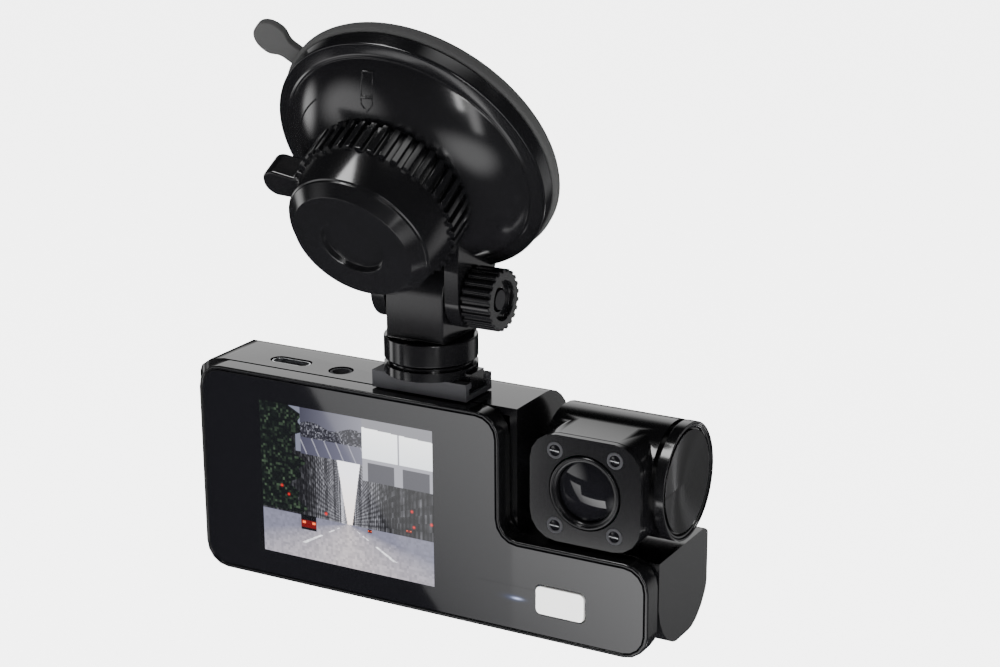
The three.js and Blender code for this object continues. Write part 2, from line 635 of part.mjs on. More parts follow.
function frontBezel() {
  const body = alongY(frontOutline(0), 0, SLAB.thick);
  const recess = alongY(frontOutline(SLAB.rim), -OVER, SLAB.recess);
  const pocket = alongY(frontOutline(SLAB.ledge), SLAB.recess - OVER / 2, SLAB.thick - SLAB.back);
  const ribbonSlot = block(
    -RIBBON.half - RIBBON.room, RIBBON.half + RIBBON.room,
    SLAB.thick - SLAB.back - OVER, SLAB.thick + OVER,
    RIBBON.high - RIBBON.thick - RIBBON.room, RIBBON.high + RIBBON.room,
  );
  return cut(body, recess, pocket, ribbonSlot);
}

function frontGlass() {
  const front = SLAB.recess - GAP - GLASS.thick;
  return alongY(
    frontOutline(SLAB.rim + GLASS.play), front, front + GLASS.thick,
    [buttonOutline(BUTTON.play), statusOutline(GLASS.play)],
  );
}

function powerButton() {
  const cap = alongY(buttonOutline(0), -BUTTON.proud, BUTTON.flangeFront + BUTTON.flangeThick / 2);
  const flange = alongY(
    buttonOutline(BUTTON.flange), BUTTON.flangeFront, BUTTON.flangeFront + BUTTON.flangeThick,
  );
  const stem = alongY(
    ring(BUTTON.x, BUTTON.z, BUTTON.stem, FACETS.tiny), BUTTON.flangeFront, BUTTON.stemEnd,
  );
  return join(cap, flange, stem);
}

// Folded behind the display, then through the slot in the bezel to the main board.
function displayRibbon() {
  const front = SLAB.thick - SLAB.back - RIBBON.thick - RIBBON.thick / 2;
  const behind = block(
    -RIBBON.half, RIBBON.half, front, front + RIBBON.thick, RIBBON.low, RIBBON.high,
  );
  const through = block(
    -RIBBON.half, RIBBON.half, front, BOARD.front - GAP, RIBBON.high - RIBBON.thick, RIBBON.high,
  );
  return join(behind, through);
}

function addFront() {
  const halfSwitch = SWITCH.side / 2;
  const board = BUTTON_BOARD;
  const displayBack = DISPLAY.front + DISPLAY.thick;
  add('front_bezel', frontBezel(), GLOSS_BLACK);
  add('front_glass', frontGlass(), DARK_GLASS);
  add('display_panel', block(
    -DISPLAY.wide / 2, DISPLAY.wide / 2, DISPLAY.front, displayBack,
    -DISPLAY.high / 2, DISPLAY.high / 2,
  ), SCREEN);
  add('power_button', powerButton(), WHITE_KEY);
  add('button_switch', block(
    BUTTON.x - halfSwitch, BUTTON.x + halfSwitch, SWITCH.front, SWITCH.back,
    BUTTON.z - halfSwitch, BUTTON.z + halfSwitch,
  ), STEEL);
  add('button_board', block(
    board.left, board.right, board.front, board.back, board.low, board.high,
  ), FLEX);
  add('status_light', alongY(statusOutline(0), STATUS.front, board.front - GAP), BLUE_LIGHT);
}

// ---------------------------------------------------------------- rear of the body

// The round underside, from the open front round to the back.
function barrelArc(inset, front) {
  const radius = CASE.barrelR - inset;
  const reach = Math.min((CASE.barrelY - front) / radius, 1);
  const start = 180 + THREE.MathUtils.radToDeg(Math.acos(reach));
  const curve = arc(CASE.barrelY, CASE.barrelZ, radius, radius, start, 360, 3 * ARC_STEPS);
  return reach < 1 ? curve : [new THREE.Vector2(front, CASE.barrelZ), ...curve];
}

function tallSection(inset, front) {
  const shoulder = arc(
    CASE.shoulderY, CASE.shoulderZ, CASE.back - CASE.shoulderY - inset,
    CASE.top - CASE.shoulderZ - inset, 0, 90, 2 * ARC_STEPS,
  );
  return [...barrelArc(inset, front), ...shoulder, new THREE.Vector2(front, CASE.top - inset)];
}

function lowSection(inset, front) {
  const radius = CASE.step - inset;
  const back = arc(
    CASE.back - CASE.step, NOTCH.floor - CASE.step, radius, radius, 0, 90, ARC_STEPS,
  );
  return [...barrelArc(inset, front), ...back, new THREE.Vector2(front, NOTCH.floor - inset)];
}

function caseSolid(inset, front) {
  const [left, right] = [CASE.left + inset, CASE.right - inset];
  const low = CASE.barrelZ - CASE.barrelR;
  const tall = alongX(tallSection(inset, front), left, NOTCH.wallX - inset);
  const short = alongX(lowSection(inset, front), NOTCH.wallX - CASE.step, right);
  const frontMask = alongY(filleted([
    [left, low + inset, CASE.endCorner - inset], [right, low + inset, CASE.edge - inset / 2],
    [right, CASE.top - inset], [left, CASE.top - inset, CASE.endCorner - inset],
  ]), front - OVER, CASE.back + OVER);
  const planMask = alongZ(filleted([
    [left, SLAB.thick + GAP, CASE.planCorner - inset], [right, SLAB.thick + GAP - OVER],
    [right, CASE.back - inset, CASE.edge - inset / 2], [left, CASE.back - inset, CASE.planBack - inset],
  ]), low - OVER, CASE.top + OVER);
  return common(join(tall, short), frontMask, planMask);
}

function screwBosses() {
  return CASE_SCREW_SPOTS.map(([x, z]) => (
    alongY(ring(x, z, BOSS.r, FACETS.small), BOSS.front, CASE.back - CASE.wall / 2)
  ));
}

function screwHoles() {
  return CASE_SCREW_SPOTS.flatMap(([x, z]) => [
    alongY(ring(x, z, BOSS.hole, FACETS.small), BOSS.front - OVER, CASE.back + OVER),
    alongY(ring(x, z, BOSS.sink, FACETS.small), CASE.back - BOSS.sinkDepth, CASE.back + OVER),
  ]);
}

function grilleSlots() {
  const slots = [];
  for (let index = 0; index < GRILLE.slots; index += 1) {
    const z = GRILLE.z + (index - (GRILLE.slots - 1) / 2) * GRILLE.pitch;
    slots.push(alongY(roundedBox(
      GRILLE.x - GRILLE.wide / 2, GRILLE.x + GRILLE.wide / 2,
      z - GRILLE.high / 2, z + GRILLE.high / 2, (GRILLE.high / 2) * ROUND_END,
    ), CASE.back - CASE.wall - OVER, CASE.back + OVER));
  }
  return slots;
}

function socketOutline(grow) {
  const [halfWide, halfHigh] = [USB.wide / 2 + grow, USB.high / 2 + grow];
  return roundedBox(
    USB.x - halfWide, USB.x + halfWide, USB.y - halfHigh, USB.y + halfHigh, halfHigh * ROUND_END,
  );
}

function railScrewSpots() {
  return [RAIL.left + RAIL_SCREW.inset, RAIL.right - RAIL_SCREW.inset];
}

function rearHousing() {
  const shell = cut(caseSolid(0, SLAB.thick + GAP), caseSolid(CASE.wall, SLAB.thick - OVER));
  const topLow = CASE.top - CASE.wall - OVER;
  const topHigh = CASE.top + OVER;
  const cardX = CARD.wide / 2 + CARD.play;
  return cut(
    join(shell, ...screwBosses()),
    ...screwHoles(),
    ...grilleSlots(),
    alongZ(socketOutline(USB.play), topLow, topHigh),
    alongZ(ring(JACK.x, JACK.y, JACK.r + JACK.rim, FACETS.medium), topLow, topHigh),
    ...railScrewSpots().map((x) => (
      alongZ(ring(x, SWIVEL.y, RAIL_SCREW.r + GAP, FACETS.tiny), topLow, topHigh)
    )),
    alongX(
      ring(CABIN.y, CABIN.z, AXLE.r + AXLE.play, FACETS.medium),
      NOTCH.wallX - CASE.wall - OVER, NOTCH.wallX + OVER,
    ),
    alongY(
      ring(ROAD.x, ROAD.z, ROAD.r + GAP, FACETS.large), CASE.back - CASE.wall - OVER, CASE.back + OVER,
    ),
    block(
      CARD.x - cardX, CARD.x + cardX, CARD.front - CARD.play, CARD.back + CARD.play,
      CASE.barrelZ - CASE.barrelR - OVER, CARD.low,
    ),
  );
}

function caseScrew(x, z) {
  const head = CASE.back - BOSS.sinkDepth + GAP;
  return turnedAlongY([
    [0, 0], [CASE_SCREW.r, 0], [CASE_SCREW.r, CASE_SCREW.long],
    [CASE_SCREW.head, CASE_SCREW.long], [CASE_SCREW.head, CASE_SCREW.long + CASE_SCREW.headThick],
    [0, CASE_SCREW.long + CASE_SCREW.headThick],
  ], x, head - CASE_SCREW.long, z, FACETS.small);
}

function railScrew(x) {
  const head = CASE.top - CASE.wall - GAP;
  const top = RAIL.top - RAIL.lip - RAIL.floor - GAP - GAP;
  return turned([
    [0, head - RAIL_SCREW.headThick], [RAIL_SCREW.head, head - RAIL_SCREW.headThick],
    [RAIL_SCREW.head, head], [RAIL_SCREW.r, head], [RAIL_SCREW.r, top], [0, top],
  ], FACETS.small).translate(x, SWIVEL.y, 0);
}

function mountRail() {
  const low = CASE.top + GAP;
  const slotLow = RAIL.top - RAIL.lip - RAIL.floor - GAP;
  const slotHigh = RAIL.top - RAIL.lip;
  const slotLeft = RAIL.left + RAIL.endWall;
  const [neckHalf, slotHalf] = [RAIL.neck / 2, RAIL.slot / 2];
  return cut(
    block(RAIL.left, RAIL.right, RAIL.front, RAIL.back, low, RAIL.top),
    block(
      slotLeft, RAIL.right + OVER, SWIVEL.y - slotHalf, SWIVEL.y + slotHalf, slotLow, slotHigh,
    ),
    block(
      slotLeft, RAIL.right + OVER, SWIVEL.y - neckHalf, SWIVEL.y + neckHalf, slotLow, RAIL.top + OVER,
    ),
    ...railScrewSpots().map((x) => (
      alongZ(ring(x, SWIVEL.y, RAIL_SCREW.r + GAP, FACETS.tiny), low - OVER, slotLow + OVER / 2)
    )),
  );
}

function addRear() {
  add('rear_housing', rearHousing(), GLOSS_BLACK);
  add('mount_rail', mountRail(), SATIN_BLACK);
  CASE_SCREW_SPOTS.forEach(([x, z], index) => add(`case_screw_${index + 1}`, caseScrew(x, z), STEEL));
  railScrewSpots().forEach((x, index) => add(`rail_screw_${index + 1}`, railScrew(x), STEEL));
}

// ---------------------------------------------------------------- electronics

function mainBoard() {
  const back = BOARD.front + BOARD.thick;
  const board = block(BOARD.left, BOARD.right, BOARD.front, back, BOARD.low, BOARD.high);
  const notch = block(
    JACK.x - JACK.notch, JACK.x + JACK.notch, BOARD.front - OVER, back + OVER,
    CASE.top - JACK.deep - OVER, BOARD.high + OVER,
  );
  return cut(board, notch);
}

function onBoard({ x, z, wide, high, thick }) {
  const front = BOARD.front + BOARD.thick + GAP;
  return block(x - wide / 2, x + wide / 2, front, front + thick, z - high / 2, z + high / 2);
}

function usbShell() {
  const high = CASE.top - USB.sink;
  return alongZ(socketOutline(0), high - USB.deep, high, [socketOutline(-USB.wall)]);
}

function usbTongue() {
  const high = CASE.top - USB.sink - OVER;
  const [halfWide, halfHigh] = [USB.tongueWide / 2, USB.tongueHigh / 2];
  return block(
    USB.x - halfWide, USB.x + halfWide, USB.y - halfHigh, USB.y + halfHigh, high - USB.tongueDeep, high,
  );
}

function avJack() {
  const high = CASE.top - USB.sink;
  const body = alongZ(ring(JACK.x, JACK.y, JACK.r, FACETS.medium), high - JACK.deep, high);
  const bore = alongZ(ring(JACK.x, JACK.y, JACK.bore, FACETS.medium), high - JACK.deep + OVER, high + OVER);
  return cut(body, bore);
}

function battery() {
  const [halfY, halfZ] = [BATTERY.deep / 2, BATTERY.high / 2];
  const section = roundedBox(
    CASE.barrelY - halfY, CASE.barrelY + halfY, CASE.barrelZ - halfZ, CASE.barrelZ + halfZ, BATTERY.corner,
  );
  return alongX(section, BATTERY.x - BATTERY.wide / 2, BATTERY.x + BATTERY.wide / 2);
}

function addElectronics() {
  add('main_board', mainBoard(), BOARD_GREEN);
  add('processor_chip', onBoard(PROCESSOR), CHIP);
  add('memory_chip', onBoard(MEMORY), CHIP);
  add('microphone', onBoard(MICROPHONE), STEEL);
  add('card_socket', block(
    CARD.x - CARD.wide / 2, CARD.x + CARD.wide / 2, CARD.front, CARD.back, CARD.low + CARD.play, CARD.high,
  ), STEEL);
  add('display_ribbon', displayRibbon(), FLEX);
  add('usb_c_shell', usbShell(), STEEL);
  add('usb_c_tongue', usbTongue(), SATIN_BLACK);
  add('av_jack', avJack(), SATIN_BLACK);
  add('battery', battery(), CELL);
  add('speaker', alongY(
    ring(SPEAKER.x, SPEAKER.z, SPEAKER.r, FACETS.medium), SPEAKER.front, SPEAKER.back,
  ), CHIP);
}

// ---------------------------------------------------------------- lenses

// A lens with a domed outer face at along = 0 and a flat inner face.
function lensProfile(radius, sag, deep) {
  const bend = (radius ** 2 + sag ** 2) / (2 * sag);
  const dome = LENS_SHARES.map((share) => {
    const r = radius * share;
    return [r, bend - Math.sqrt(bend ** 2 - r ** 2)];
  });
  return [...dome, [radius, deep], [0, deep]];
}

function roadBarrel() {
  const outer = CASE.back + ROAD.proud;
  const body = alongY(ring(ROAD.x, ROAD.z, ROAD.r, FACETS.large), ROAD.front, outer);
  const bore = alongY(ring(ROAD.x, ROAD.z, ROAD.bore, FACETS.large), ROAD.front + CASE.wall, outer + OVER);
  return cut(body, bore);
}

function roadRing() {
  const front = CASE.back + GAP;
  return alongY(
    ring(ROAD.x, ROAD.z, ROAD.ringR, FACETS.large), front, front + ROAD.ringThick,
    [ring(ROAD.x, ROAD.z, ROAD.r + GAP, FACETS.large)],
  );
}

function roadLens() {
  const lens = turned(lensProfile(ROAD.lensR, ROAD.lensSag, ROAD.lensDeep), FACETS.medium);
  return lens.rotateX(Math.PI / 2).translate(ROAD.x, CASE.back + ROAD.proud - GAP, ROAD.z);
}

function roadSensorBoard() {
  const half = ROAD.boardSide / 2;
  const back = ROAD.front - GAP;
  return block(ROAD.x - half, ROAD.x + half, back - ROAD.boardThick, back, ROAD.z - half, ROAD.z + half);
}

function addRoadCamera() {
  add('road_lens_barrel', roadBarrel(), SATIN_BLACK);
  add('road_lens_ring', roadRing(), STEEL);
  add('road_lens', roadLens(), DARK_GLASS);
  add('road_sensor_board', roadSensorBoard(), BOARD_GREEN);
}

// ---------------------------------------------------------------- cabin camera

const CABIN_X = (CABIN.left + CABIN.right) / 2;
const CABIN_Z = (CABIN.low + CABIN.high) / 2;

function cabinFace(inset) {
  return roundedBox(
    CABIN.left + inset, CABIN.right - inset, CABIN.low + inset, CABIN.high - inset, CABIN.corner - inset,
  );
}

function cabinSolid(inset, front) {
  const nose = alongY(cabinFace(inset), front, CABIN.y);
  const drum = alongX(
    ring(CABIN.y, CABIN.z, CABIN.r - inset, FACETS.large), CABIN.left + inset, CABIN.right - inset,
  );
  return join(nose, drum);
}

function cabinHousing() {
  const front = CABIN.face + CABIN.plate + GAP;
  const neck = alongX(
    ring(CABIN.y, CABIN.z, CABIN.neckR, FACETS.large), CABIN.right - OVER, CABIN.right + CABIN.neck,
  );
  return join(cut(cabinSolid(0, front), cabinSolid(CABIN.wall, front - OVER)), neck);
}

function ledSpots() {
  const spots = [];
  for (const z of [CABIN_Z + CABIN_LED.spanZ / 2, CABIN_Z - CABIN_LED.spanZ / 2]) {
    for (const x of [CABIN_X - CABIN_LED.spanX / 2, CABIN_X + CABIN_LED.spanX / 2]) spots.push([x, z]);
  }
  return spots;
}

function cabinPlate() {
  const holes = ledSpots().map(([x, z]) => ring(x, z, CABIN_LED.r + GAP, FACETS.small));
  holes.push(ring(CABIN_X, CABIN_Z, CABIN_LENS.r + GAP, FACETS.large));
  return alongY(cabinFace(0), CABIN.face, CABIN.face + CABIN.plate, holes);
}

function cabinLensRing() {
  const front = CABIN.face - CABIN_LENS.proud;
  return alongY(
    ring(CABIN_X, CABIN_Z, CABIN_LENS.r, FACETS.large), front, front + CABIN_LENS.deep + CABIN_LENS.proud,
    [ring(CABIN_X, CABIN_Z, CABIN_LENS.bore, FACETS.large)],
  );
}

function cabinLens() {
  const deep = CABIN_LENS.deep - CABIN_LENS.inset;
  return turnedAlongY(
    lensProfile(CABIN_LENS.lensR, CABIN_LENS.sag, deep),
    CABIN_X, CABIN.face + CABIN_LENS.inset - CABIN_LENS.proud, CABIN_Z, FACETS.medium,
  );
}

function cabinEndRing() {
  const left = CABIN.right + CABIN.neck + GAP;
  const right = left + CABIN_END.thick;
  return cut(
    alongX(ring(CABIN.y, CABIN.z, CABIN.r, FACETS.large), left, right),
    alongX(
      ring(CABIN.y, CABIN.z, CABIN.r - CABIN_END.rim, FACETS.large), right - CABIN_END.recess, right + OVER,
    ),
  );
}

function cabinEndDisc() {
  const right = CABIN.right + CABIN.neck + GAP + CABIN_END.thick;
  const left = right - CABIN_END.recess + GAP;
  const radius = CABIN.r - CABIN_END.rim - GAP;
  return alongX(ring(CABIN.y, CABIN.z, radius, FACETS.large), left, left + CABIN_END.discThick);
}

function cabinAxle() {
  const left = NOTCH.wallX - CASE.wall - GAP - AXLE.flangeThick;
  const long = CABIN.left - GAP - left;
  return turnedAlongX([
    [AXLE.bore, 0], [AXLE.flange, 0], [AXLE.flange, AXLE.flangeThick], [AXLE.r, AXLE.flangeThick],
    [AXLE.r, long], [AXLE.bore, long],
  ], left, CABIN.y, CABIN.z, FACETS.medium);
}

function cabinSensorBoard() {
  const inset = CABIN.wall + OVER;
  return alongY(cabinFace(inset), CABIN.boardY, CABIN.boardY + CABIN.boardThick);
}

function addCabinCamera() {
  add('cabin_housing', cabinHousing(), GLOSS_BLACK);
  add('cabin_face_plate', cabinPlate(), GLOSS_BLACK);
  add('cabin_lens_ring', cabinLensRing(), SATIN_BLACK);
  add('cabin_lens', cabinLens(), DARK_GLASS);
  ledSpots().forEach(([x, z], index) => {
    const front = CABIN.face + CABIN_LED.proud;
    const led = alongY(ring(x, z, CABIN_LED.r, FACETS.small), front, front + CABIN_LED.deep);
    add(`cabin_infrared_led_${index + 1}`, led, STEEL);
  });
  add('cabin_end_ring', cabinEndRing(), GLOSS_BLACK);
  add('cabin_end_disc', cabinEndDisc(), BRUSHED);
  add('cabin_axle', cabinAxle(), SATIN_BLACK);
  add('cabin_sensor_board', cabinSensorBoard(), BOARD_GREEN);
}

// ---------------------------------------------------------------- the whole

addSuctionMount();
addHinge();
addFront();
addRear();
addElectronics();
addRoadCamera();
addCabinCamera();

const suctionFace = new THREE.Vector3(0, 0, CUP.face).applyMatrix4(cup.matrix);
assembly.position.copy(suctionFace).negate();

const dashCamera = new THREE.Group();
dashCamera.add(assembly);

export default dashCamera;
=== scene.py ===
"""Windscreen dash camera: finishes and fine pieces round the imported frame."""

import json
import math

import bpy
from mathutils import Matrix, Quaternion, Vector


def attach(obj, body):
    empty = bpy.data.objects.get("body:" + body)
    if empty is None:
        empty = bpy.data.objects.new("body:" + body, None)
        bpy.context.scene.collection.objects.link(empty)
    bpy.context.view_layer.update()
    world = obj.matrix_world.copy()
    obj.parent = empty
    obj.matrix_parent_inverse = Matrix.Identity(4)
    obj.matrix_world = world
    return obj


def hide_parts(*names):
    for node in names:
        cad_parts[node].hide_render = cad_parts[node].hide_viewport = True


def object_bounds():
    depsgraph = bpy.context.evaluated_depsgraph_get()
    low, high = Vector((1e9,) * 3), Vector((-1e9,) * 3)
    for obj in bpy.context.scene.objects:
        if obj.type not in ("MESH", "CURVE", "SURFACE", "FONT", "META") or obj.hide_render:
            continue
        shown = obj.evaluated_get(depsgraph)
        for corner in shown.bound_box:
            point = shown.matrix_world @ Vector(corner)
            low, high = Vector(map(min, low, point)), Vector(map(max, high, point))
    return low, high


bl_info = {
    "name": "Dash Camera",
    "version": (1, 0, 0),
    "blender": (4, 5, 0),
    "location": "View3D > Sidebar > Dash Camera",
    "description": "Builds a windscreen dash camera round its packed frame",
    "category": "Object",
}

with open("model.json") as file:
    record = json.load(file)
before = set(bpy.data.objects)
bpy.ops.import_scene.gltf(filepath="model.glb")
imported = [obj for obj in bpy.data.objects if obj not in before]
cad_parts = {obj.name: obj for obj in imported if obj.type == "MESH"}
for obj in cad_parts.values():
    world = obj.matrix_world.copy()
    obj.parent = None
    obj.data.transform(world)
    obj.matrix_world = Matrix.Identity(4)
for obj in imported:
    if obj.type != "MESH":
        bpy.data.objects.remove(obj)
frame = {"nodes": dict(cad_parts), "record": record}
CAD_BOX = [list(corner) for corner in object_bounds()]

MM = 0.001
MOUNTS = {mount["name"]: mount for mount in frame["record"]["mounts"]}
GLASS_MIDDLE = Vector(MOUNTS["display_face"]["pos_m"])
CUP_AXIS = Vector(MOUNTS["suction_face"]["axis"]).normalized()
CUP_FACE = 27.6                       # from the knob's shoulder to the suction face
SMOOTH = math.radians(32)
FLAT = math.radians(0.4)
WELD = 1e-6
GLOW_CORE = 0.75                      # how far in from its edge a soft board reaches full light

FLOOR_SIZE, FLOOR_DROP, FLOOR_LIGHT = 12, 0.12, 5.0
DARK_SURROUND = (0.018, 0.018, 0.019, 1)
CAMERA_PLACE = (0.2061, -0.34007, 0.0828)
CAMERA_TURN, CAMERA_DOWN, CAMERA_ROLL = 29.15, 16.97, 0.34
CAMERA_LENS, CAMERA_SENSOR, CAMERA_NEAR, CAMERA_FAR = 76.7, 36, 0.01, 20

# Swivel and hinge, from the middle of the glass.
PIVOT_X, PIVOT_Y, HINGE_Z = 15.7, 8.0, 42.3
CABIN_X, CABIN_Z, CABIN_FACE = 52.7, 8.8, 1.7
BARREL_Y, BARREL_Z = 16.6, 8.9


# ---------------------------------------------------------------- properties


class DashCameraSizes(bpy.types.PropertyGroup):
    """Sizes a user would change, in metres."""

    turn_steps: bpy.props.IntProperty(
        name="Turning steps", description="Faces round a turned piece", default=128, min=48, max=256
    )
    edge: bpy.props.FloatProperty(
        name="Edge softness", description="Width of the moulded edge on the body",
        default=0.00035, min=0.0001, max=0.001, unit="LENGTH", precision=5,
    )
    bead: bpy.props.FloatProperty(
        name="Bead", description="Radius of the raised lines on the cup",
        default=0.00016, min=0.00005, max=0.0005, unit="LENGTH", precision=5,
    )
    ribs: bpy.props.IntProperty(
        name="Knob ribs", description="Ribs round the locking knob", default=42, min=20, max=80
    )
    flutes: bpy.props.IntProperty(
        name="Clamp flutes", description="Flutes round the clamp knob", default=22, min=12, max=40
    )


class DashCameraFinishes(bpy.types.PropertyGroup):
    """Colours a user would change."""

    body: bpy.props.FloatVectorProperty(
        name="Body", description="Polished black plastic", subtype="COLOR", size=3,
        default=(0.004, 0.004, 0.0045), min=0, max=1,
    )
    soft: bpy.props.FloatVectorProperty(
        name="Soft pad", description="Flexible black pad", subtype="COLOR", size=3,
        default=(0.006, 0.006, 0.0065), min=0, max=1,
    )
    key: bpy.props.FloatVectorProperty(
        name="Key", description="White key cap", subtype="COLOR", size=3,
        default=(0.86, 0.86, 0.85), min=0, max=1,
    )
    lamp: bpy.props.FloatVectorProperty(
        name="Status light", description="Light of the status lamp", subtype="COLOR", size=3,
        default=(0.35, 0.55, 1.0), min=0, max=1,
    )
    floor: bpy.props.FloatVectorProperty(
        name="Floor", description="Pale studio floor", subtype="COLOR", size=3,
        default=(0.92, 0.92, 0.92), min=0, max=1,
    )


def sizes():
    return bpy.context.scene.dash_camera_sizes


def finishes():
    return bpy.context.scene.dash_camera_finishes


# ---------------------------------------------------------------- materials


def link(tree, source, output, target, socket):
    tree.links.new(source.outputs[output], target.inputs[socket])


def plastic(name, colour, roughness, spread, grain, depth, metallic=0.0, coat=0.0):
    """A moulded or plated surface: its gloss and its fine texture vary a little over it."""
    found = bpy.data.materials.get(name)
    if found:
        return found
    material = bpy.data.materials.new(name)
    material.use_nodes = True
    tree = material.node_tree
    shader = tree.nodes["Principled BSDF"]
    shader.inputs["Metallic"].default_value = metallic
    shader.inputs["Coat Weight"].default_value = coat
    place = tree.nodes.new("ShaderNodeTexCoord")
    broad = tree.nodes.new("ShaderNodeTexNoise")
    broad.inputs["Scale"].default_value = grain * 0.06
    broad.inputs["Detail"].default_value = 3
    fine = tree.nodes.new("ShaderNodeTexNoise")
    fine.inputs["Scale"].default_value = grain
    gloss = tree.nodes.new("ShaderNodeMapRange")
    gloss.inputs["To Min"].default_value = roughness - spread
    gloss.inputs["To Max"].default_value = roughness + spread
    tint = tree.nodes.new("ShaderNodeValToRGB")
    tint.color_ramp.elements[0].color = [0.85 * part for part in colour] + [1]
    tint.color_ramp.elements[1].color = [min(1.15 * part, 1) for part in colour] + [1]
    bump = tree.nodes.new("ShaderNodeBump")
    bump.inputs["Strength"].default_value = 0.5
    bump.inputs["Distance"].default_value = depth * MM
    link(tree, place, "Object", broad, "Vector")
    link(tree, place, "Object", fine, "Vector")
    link(tree, broad, "Fac", gloss, "Value")
    link(tree, broad, "Fac", tint, "Fac")
    link(tree, gloss, "Result", shader, "Roughness")
    link(tree, tint, "Color", shader, "Base Color")
    link(tree, fine, "Fac", bump, "Height")
    link(tree, bump, "Normal", shader, "Normal")
    return material


def gloss_black():
    return plastic("polished_black", finishes().body, 0.15, 0.03, 900, 0.0008)


def satin_black():
    return plastic("satin_black", (0.008, 0.008, 0.009), 0.34, 0.05, 2600, 0.006)


def soft_black():
    return plastic("soft_black", finishes().soft, 0.30, 0.05, 700, 0.004)


def dark_glass():
    return plastic("black_glass", (0.004, 0.004, 0.005), 0.04, 0.01, 200, 0.0)


def white_key():
    return plastic("white_key", finishes().key, 0.22, 0.04, 900, 0.002)


def steel():
    return plastic("plated_steel", (0.58, 0.59, 0.61), 0.24, 0.06, 1800, 0.002, metallic=1.0)


def dark_steel():
    return plastic("dark_steel", (0.035, 0.035, 0.038), 0.3, 0.05, 1800, 0.002, metallic=0.9)


def brass():
    return plastic("turned_brass", (0.62, 0.42, 0.14), 0.28, 0.06, 1500, 0.002, metallic=1.0)


def board_green():
    return plastic("board_green", (0.01, 0.07, 0.03), 0.35, 0.08, 1400, 0.01)


def chip():
    return plastic("moulded_chip", (0.02, 0.02, 0.022), 0.5, 0.08, 3000, 0.01)


def foil():
    return plastic("cell_foil", (0.4, 0.42, 0.45), 0.35, 0.1, 500, 0.03, metallic=0.8)


def amber():
    return plastic("amber_flex", (0.35, 0.13, 0.03), 0.35, 0.06, 1200, 0.004)


def turned_metal():
    """Dark metal with fine concentric lines, which spread each highlight into a fan."""
    name = "turned_metal"
    material = plastic(name, (0.16, 0.16, 0.165), 0.42, 0.04, 1800, 0.0005, metallic=1.0)
    tree = material.node_tree
    shader = tree.nodes["Principled BSDF"]
    shader.inputs["Anisotropic"].default_value = 0.92
    tangent = tree.nodes.new("ShaderNodeTangent")
    tangent.direction_type = "UV_MAP"
    tangent.uv_map = "round"
    link(tree, tangent, "Tangent", shader, "Tangent")
    return material


def lit_glass(strength):
    """Polished glass lit from behind, with the light held in the piece's own colours."""
    name = f"lit_glass_{int(strength * 100)}"
    found = bpy.data.materials.get(name)
    if found:
        return found
    material = plastic(name, (0.004, 0.004, 0.005), 0.04, 0.01, 200, 0.0)
    tree = material.node_tree
    shader = tree.nodes["Principled BSDF"]
    light = tree.nodes.new("ShaderNodeAttribute")
    light.attribute_name = "light"
    shader.inputs["Emission Strength"].default_value = strength
    link(tree, light, "Color", shader, "Emission Color")
    return material


def lamp_blue():
    material = plastic("lamp_blue", finishes().lamp, 0.2, 0.03, 900, 0.002)
    shader = material.node_tree.nodes["Principled BSDF"]
    shader.inputs["Emission Color"].default_value = (*finishes().lamp, 1)
    shader.inputs["Emission Strength"].default_value = 6.0
    return material


def glow(name, strength):
    """A lit board that fades from its middle to nothing at its edge."""
    material = bpy.data.materials.new(name)
    material.use_nodes = True
    tree = material.node_tree
    shader = tree.nodes["Principled BSDF"]
    shader.inputs["Base Color"].default_value = (0, 0, 0, 1)
    shader.inputs["Specular IOR Level"].default_value = 0
    shader.inputs["Emission Strength"].default_value = strength
    place = tree.nodes.new("ShaderNodeTexCoord")
    fade = tree.nodes.new("ShaderNodeTexGradient")
    fade.gradient_type = "SPHERICAL"
    ramp = tree.nodes.new("ShaderNodeValToRGB")
    ramp.color_ramp.interpolation = "EASE"
    ramp.color_ramp.elements[0].color = (0, 0, 0, 1)
    ramp.color_ramp.elements[1].position = GLOW_CORE
    link(tree, place, "Object", fade, "Vector")
    link(tree, fade, "Fac", ramp, "Fac")
    link(tree, ramp, "Color", shader, "Emission Color")
    return material


# ---------------------------------------------------------------- mesh helpers


def select_only(piece):
    if bpy.context.object and bpy.context.object.mode != "OBJECT":
        bpy.ops.object.mode_set(mode="OBJECT")
    bpy.ops.object.select_all(action="DESELECT")
    if piece:
        piece.select_set(True)
        bpy.context.view_layer.objects.active = piece


def edit(piece):
    select_only(piece)
    bpy.ops.object.mode_set(mode="EDIT")
    bpy.ops.mesh.select_mode(type="VERT")
    bpy.ops.mesh.select_all(action="SELECT")


def close_up(piece):
    """Merges doubled corners, points the faces outwards and leaves edit mode."""
    edit(piece)
    bpy.ops.mesh.remove_doubles(threshold=WELD)
    bpy.ops.mesh.normals_make_consistent(inside=False)
    bpy.ops.object.mode_set(mode="OBJECT")


def drawn_line(name, points):
    """A line drawn corner by corner, left in edit mode and wholly selected."""
    select_only(None)
    bpy.ops.mesh.primitive_plane_add(size=MM, location=(0, 0, 0))
    piece = bpy.context.object
    piece.name = name
    piece.data.name = name
    edit(piece)
    bpy.ops.mesh.merge(type="CENTER")
    corners = [Vector(point) * MM for point in points]
    bpy.ops.transform.translate(value=corners[0])
    for before, after in zip(corners, corners[1:]):
        bpy.ops.mesh.extrude_region_move(TRANSFORM_OT_translate={"value": after - before})
    bpy.ops.mesh.select_all(action="SELECT")
    return piece


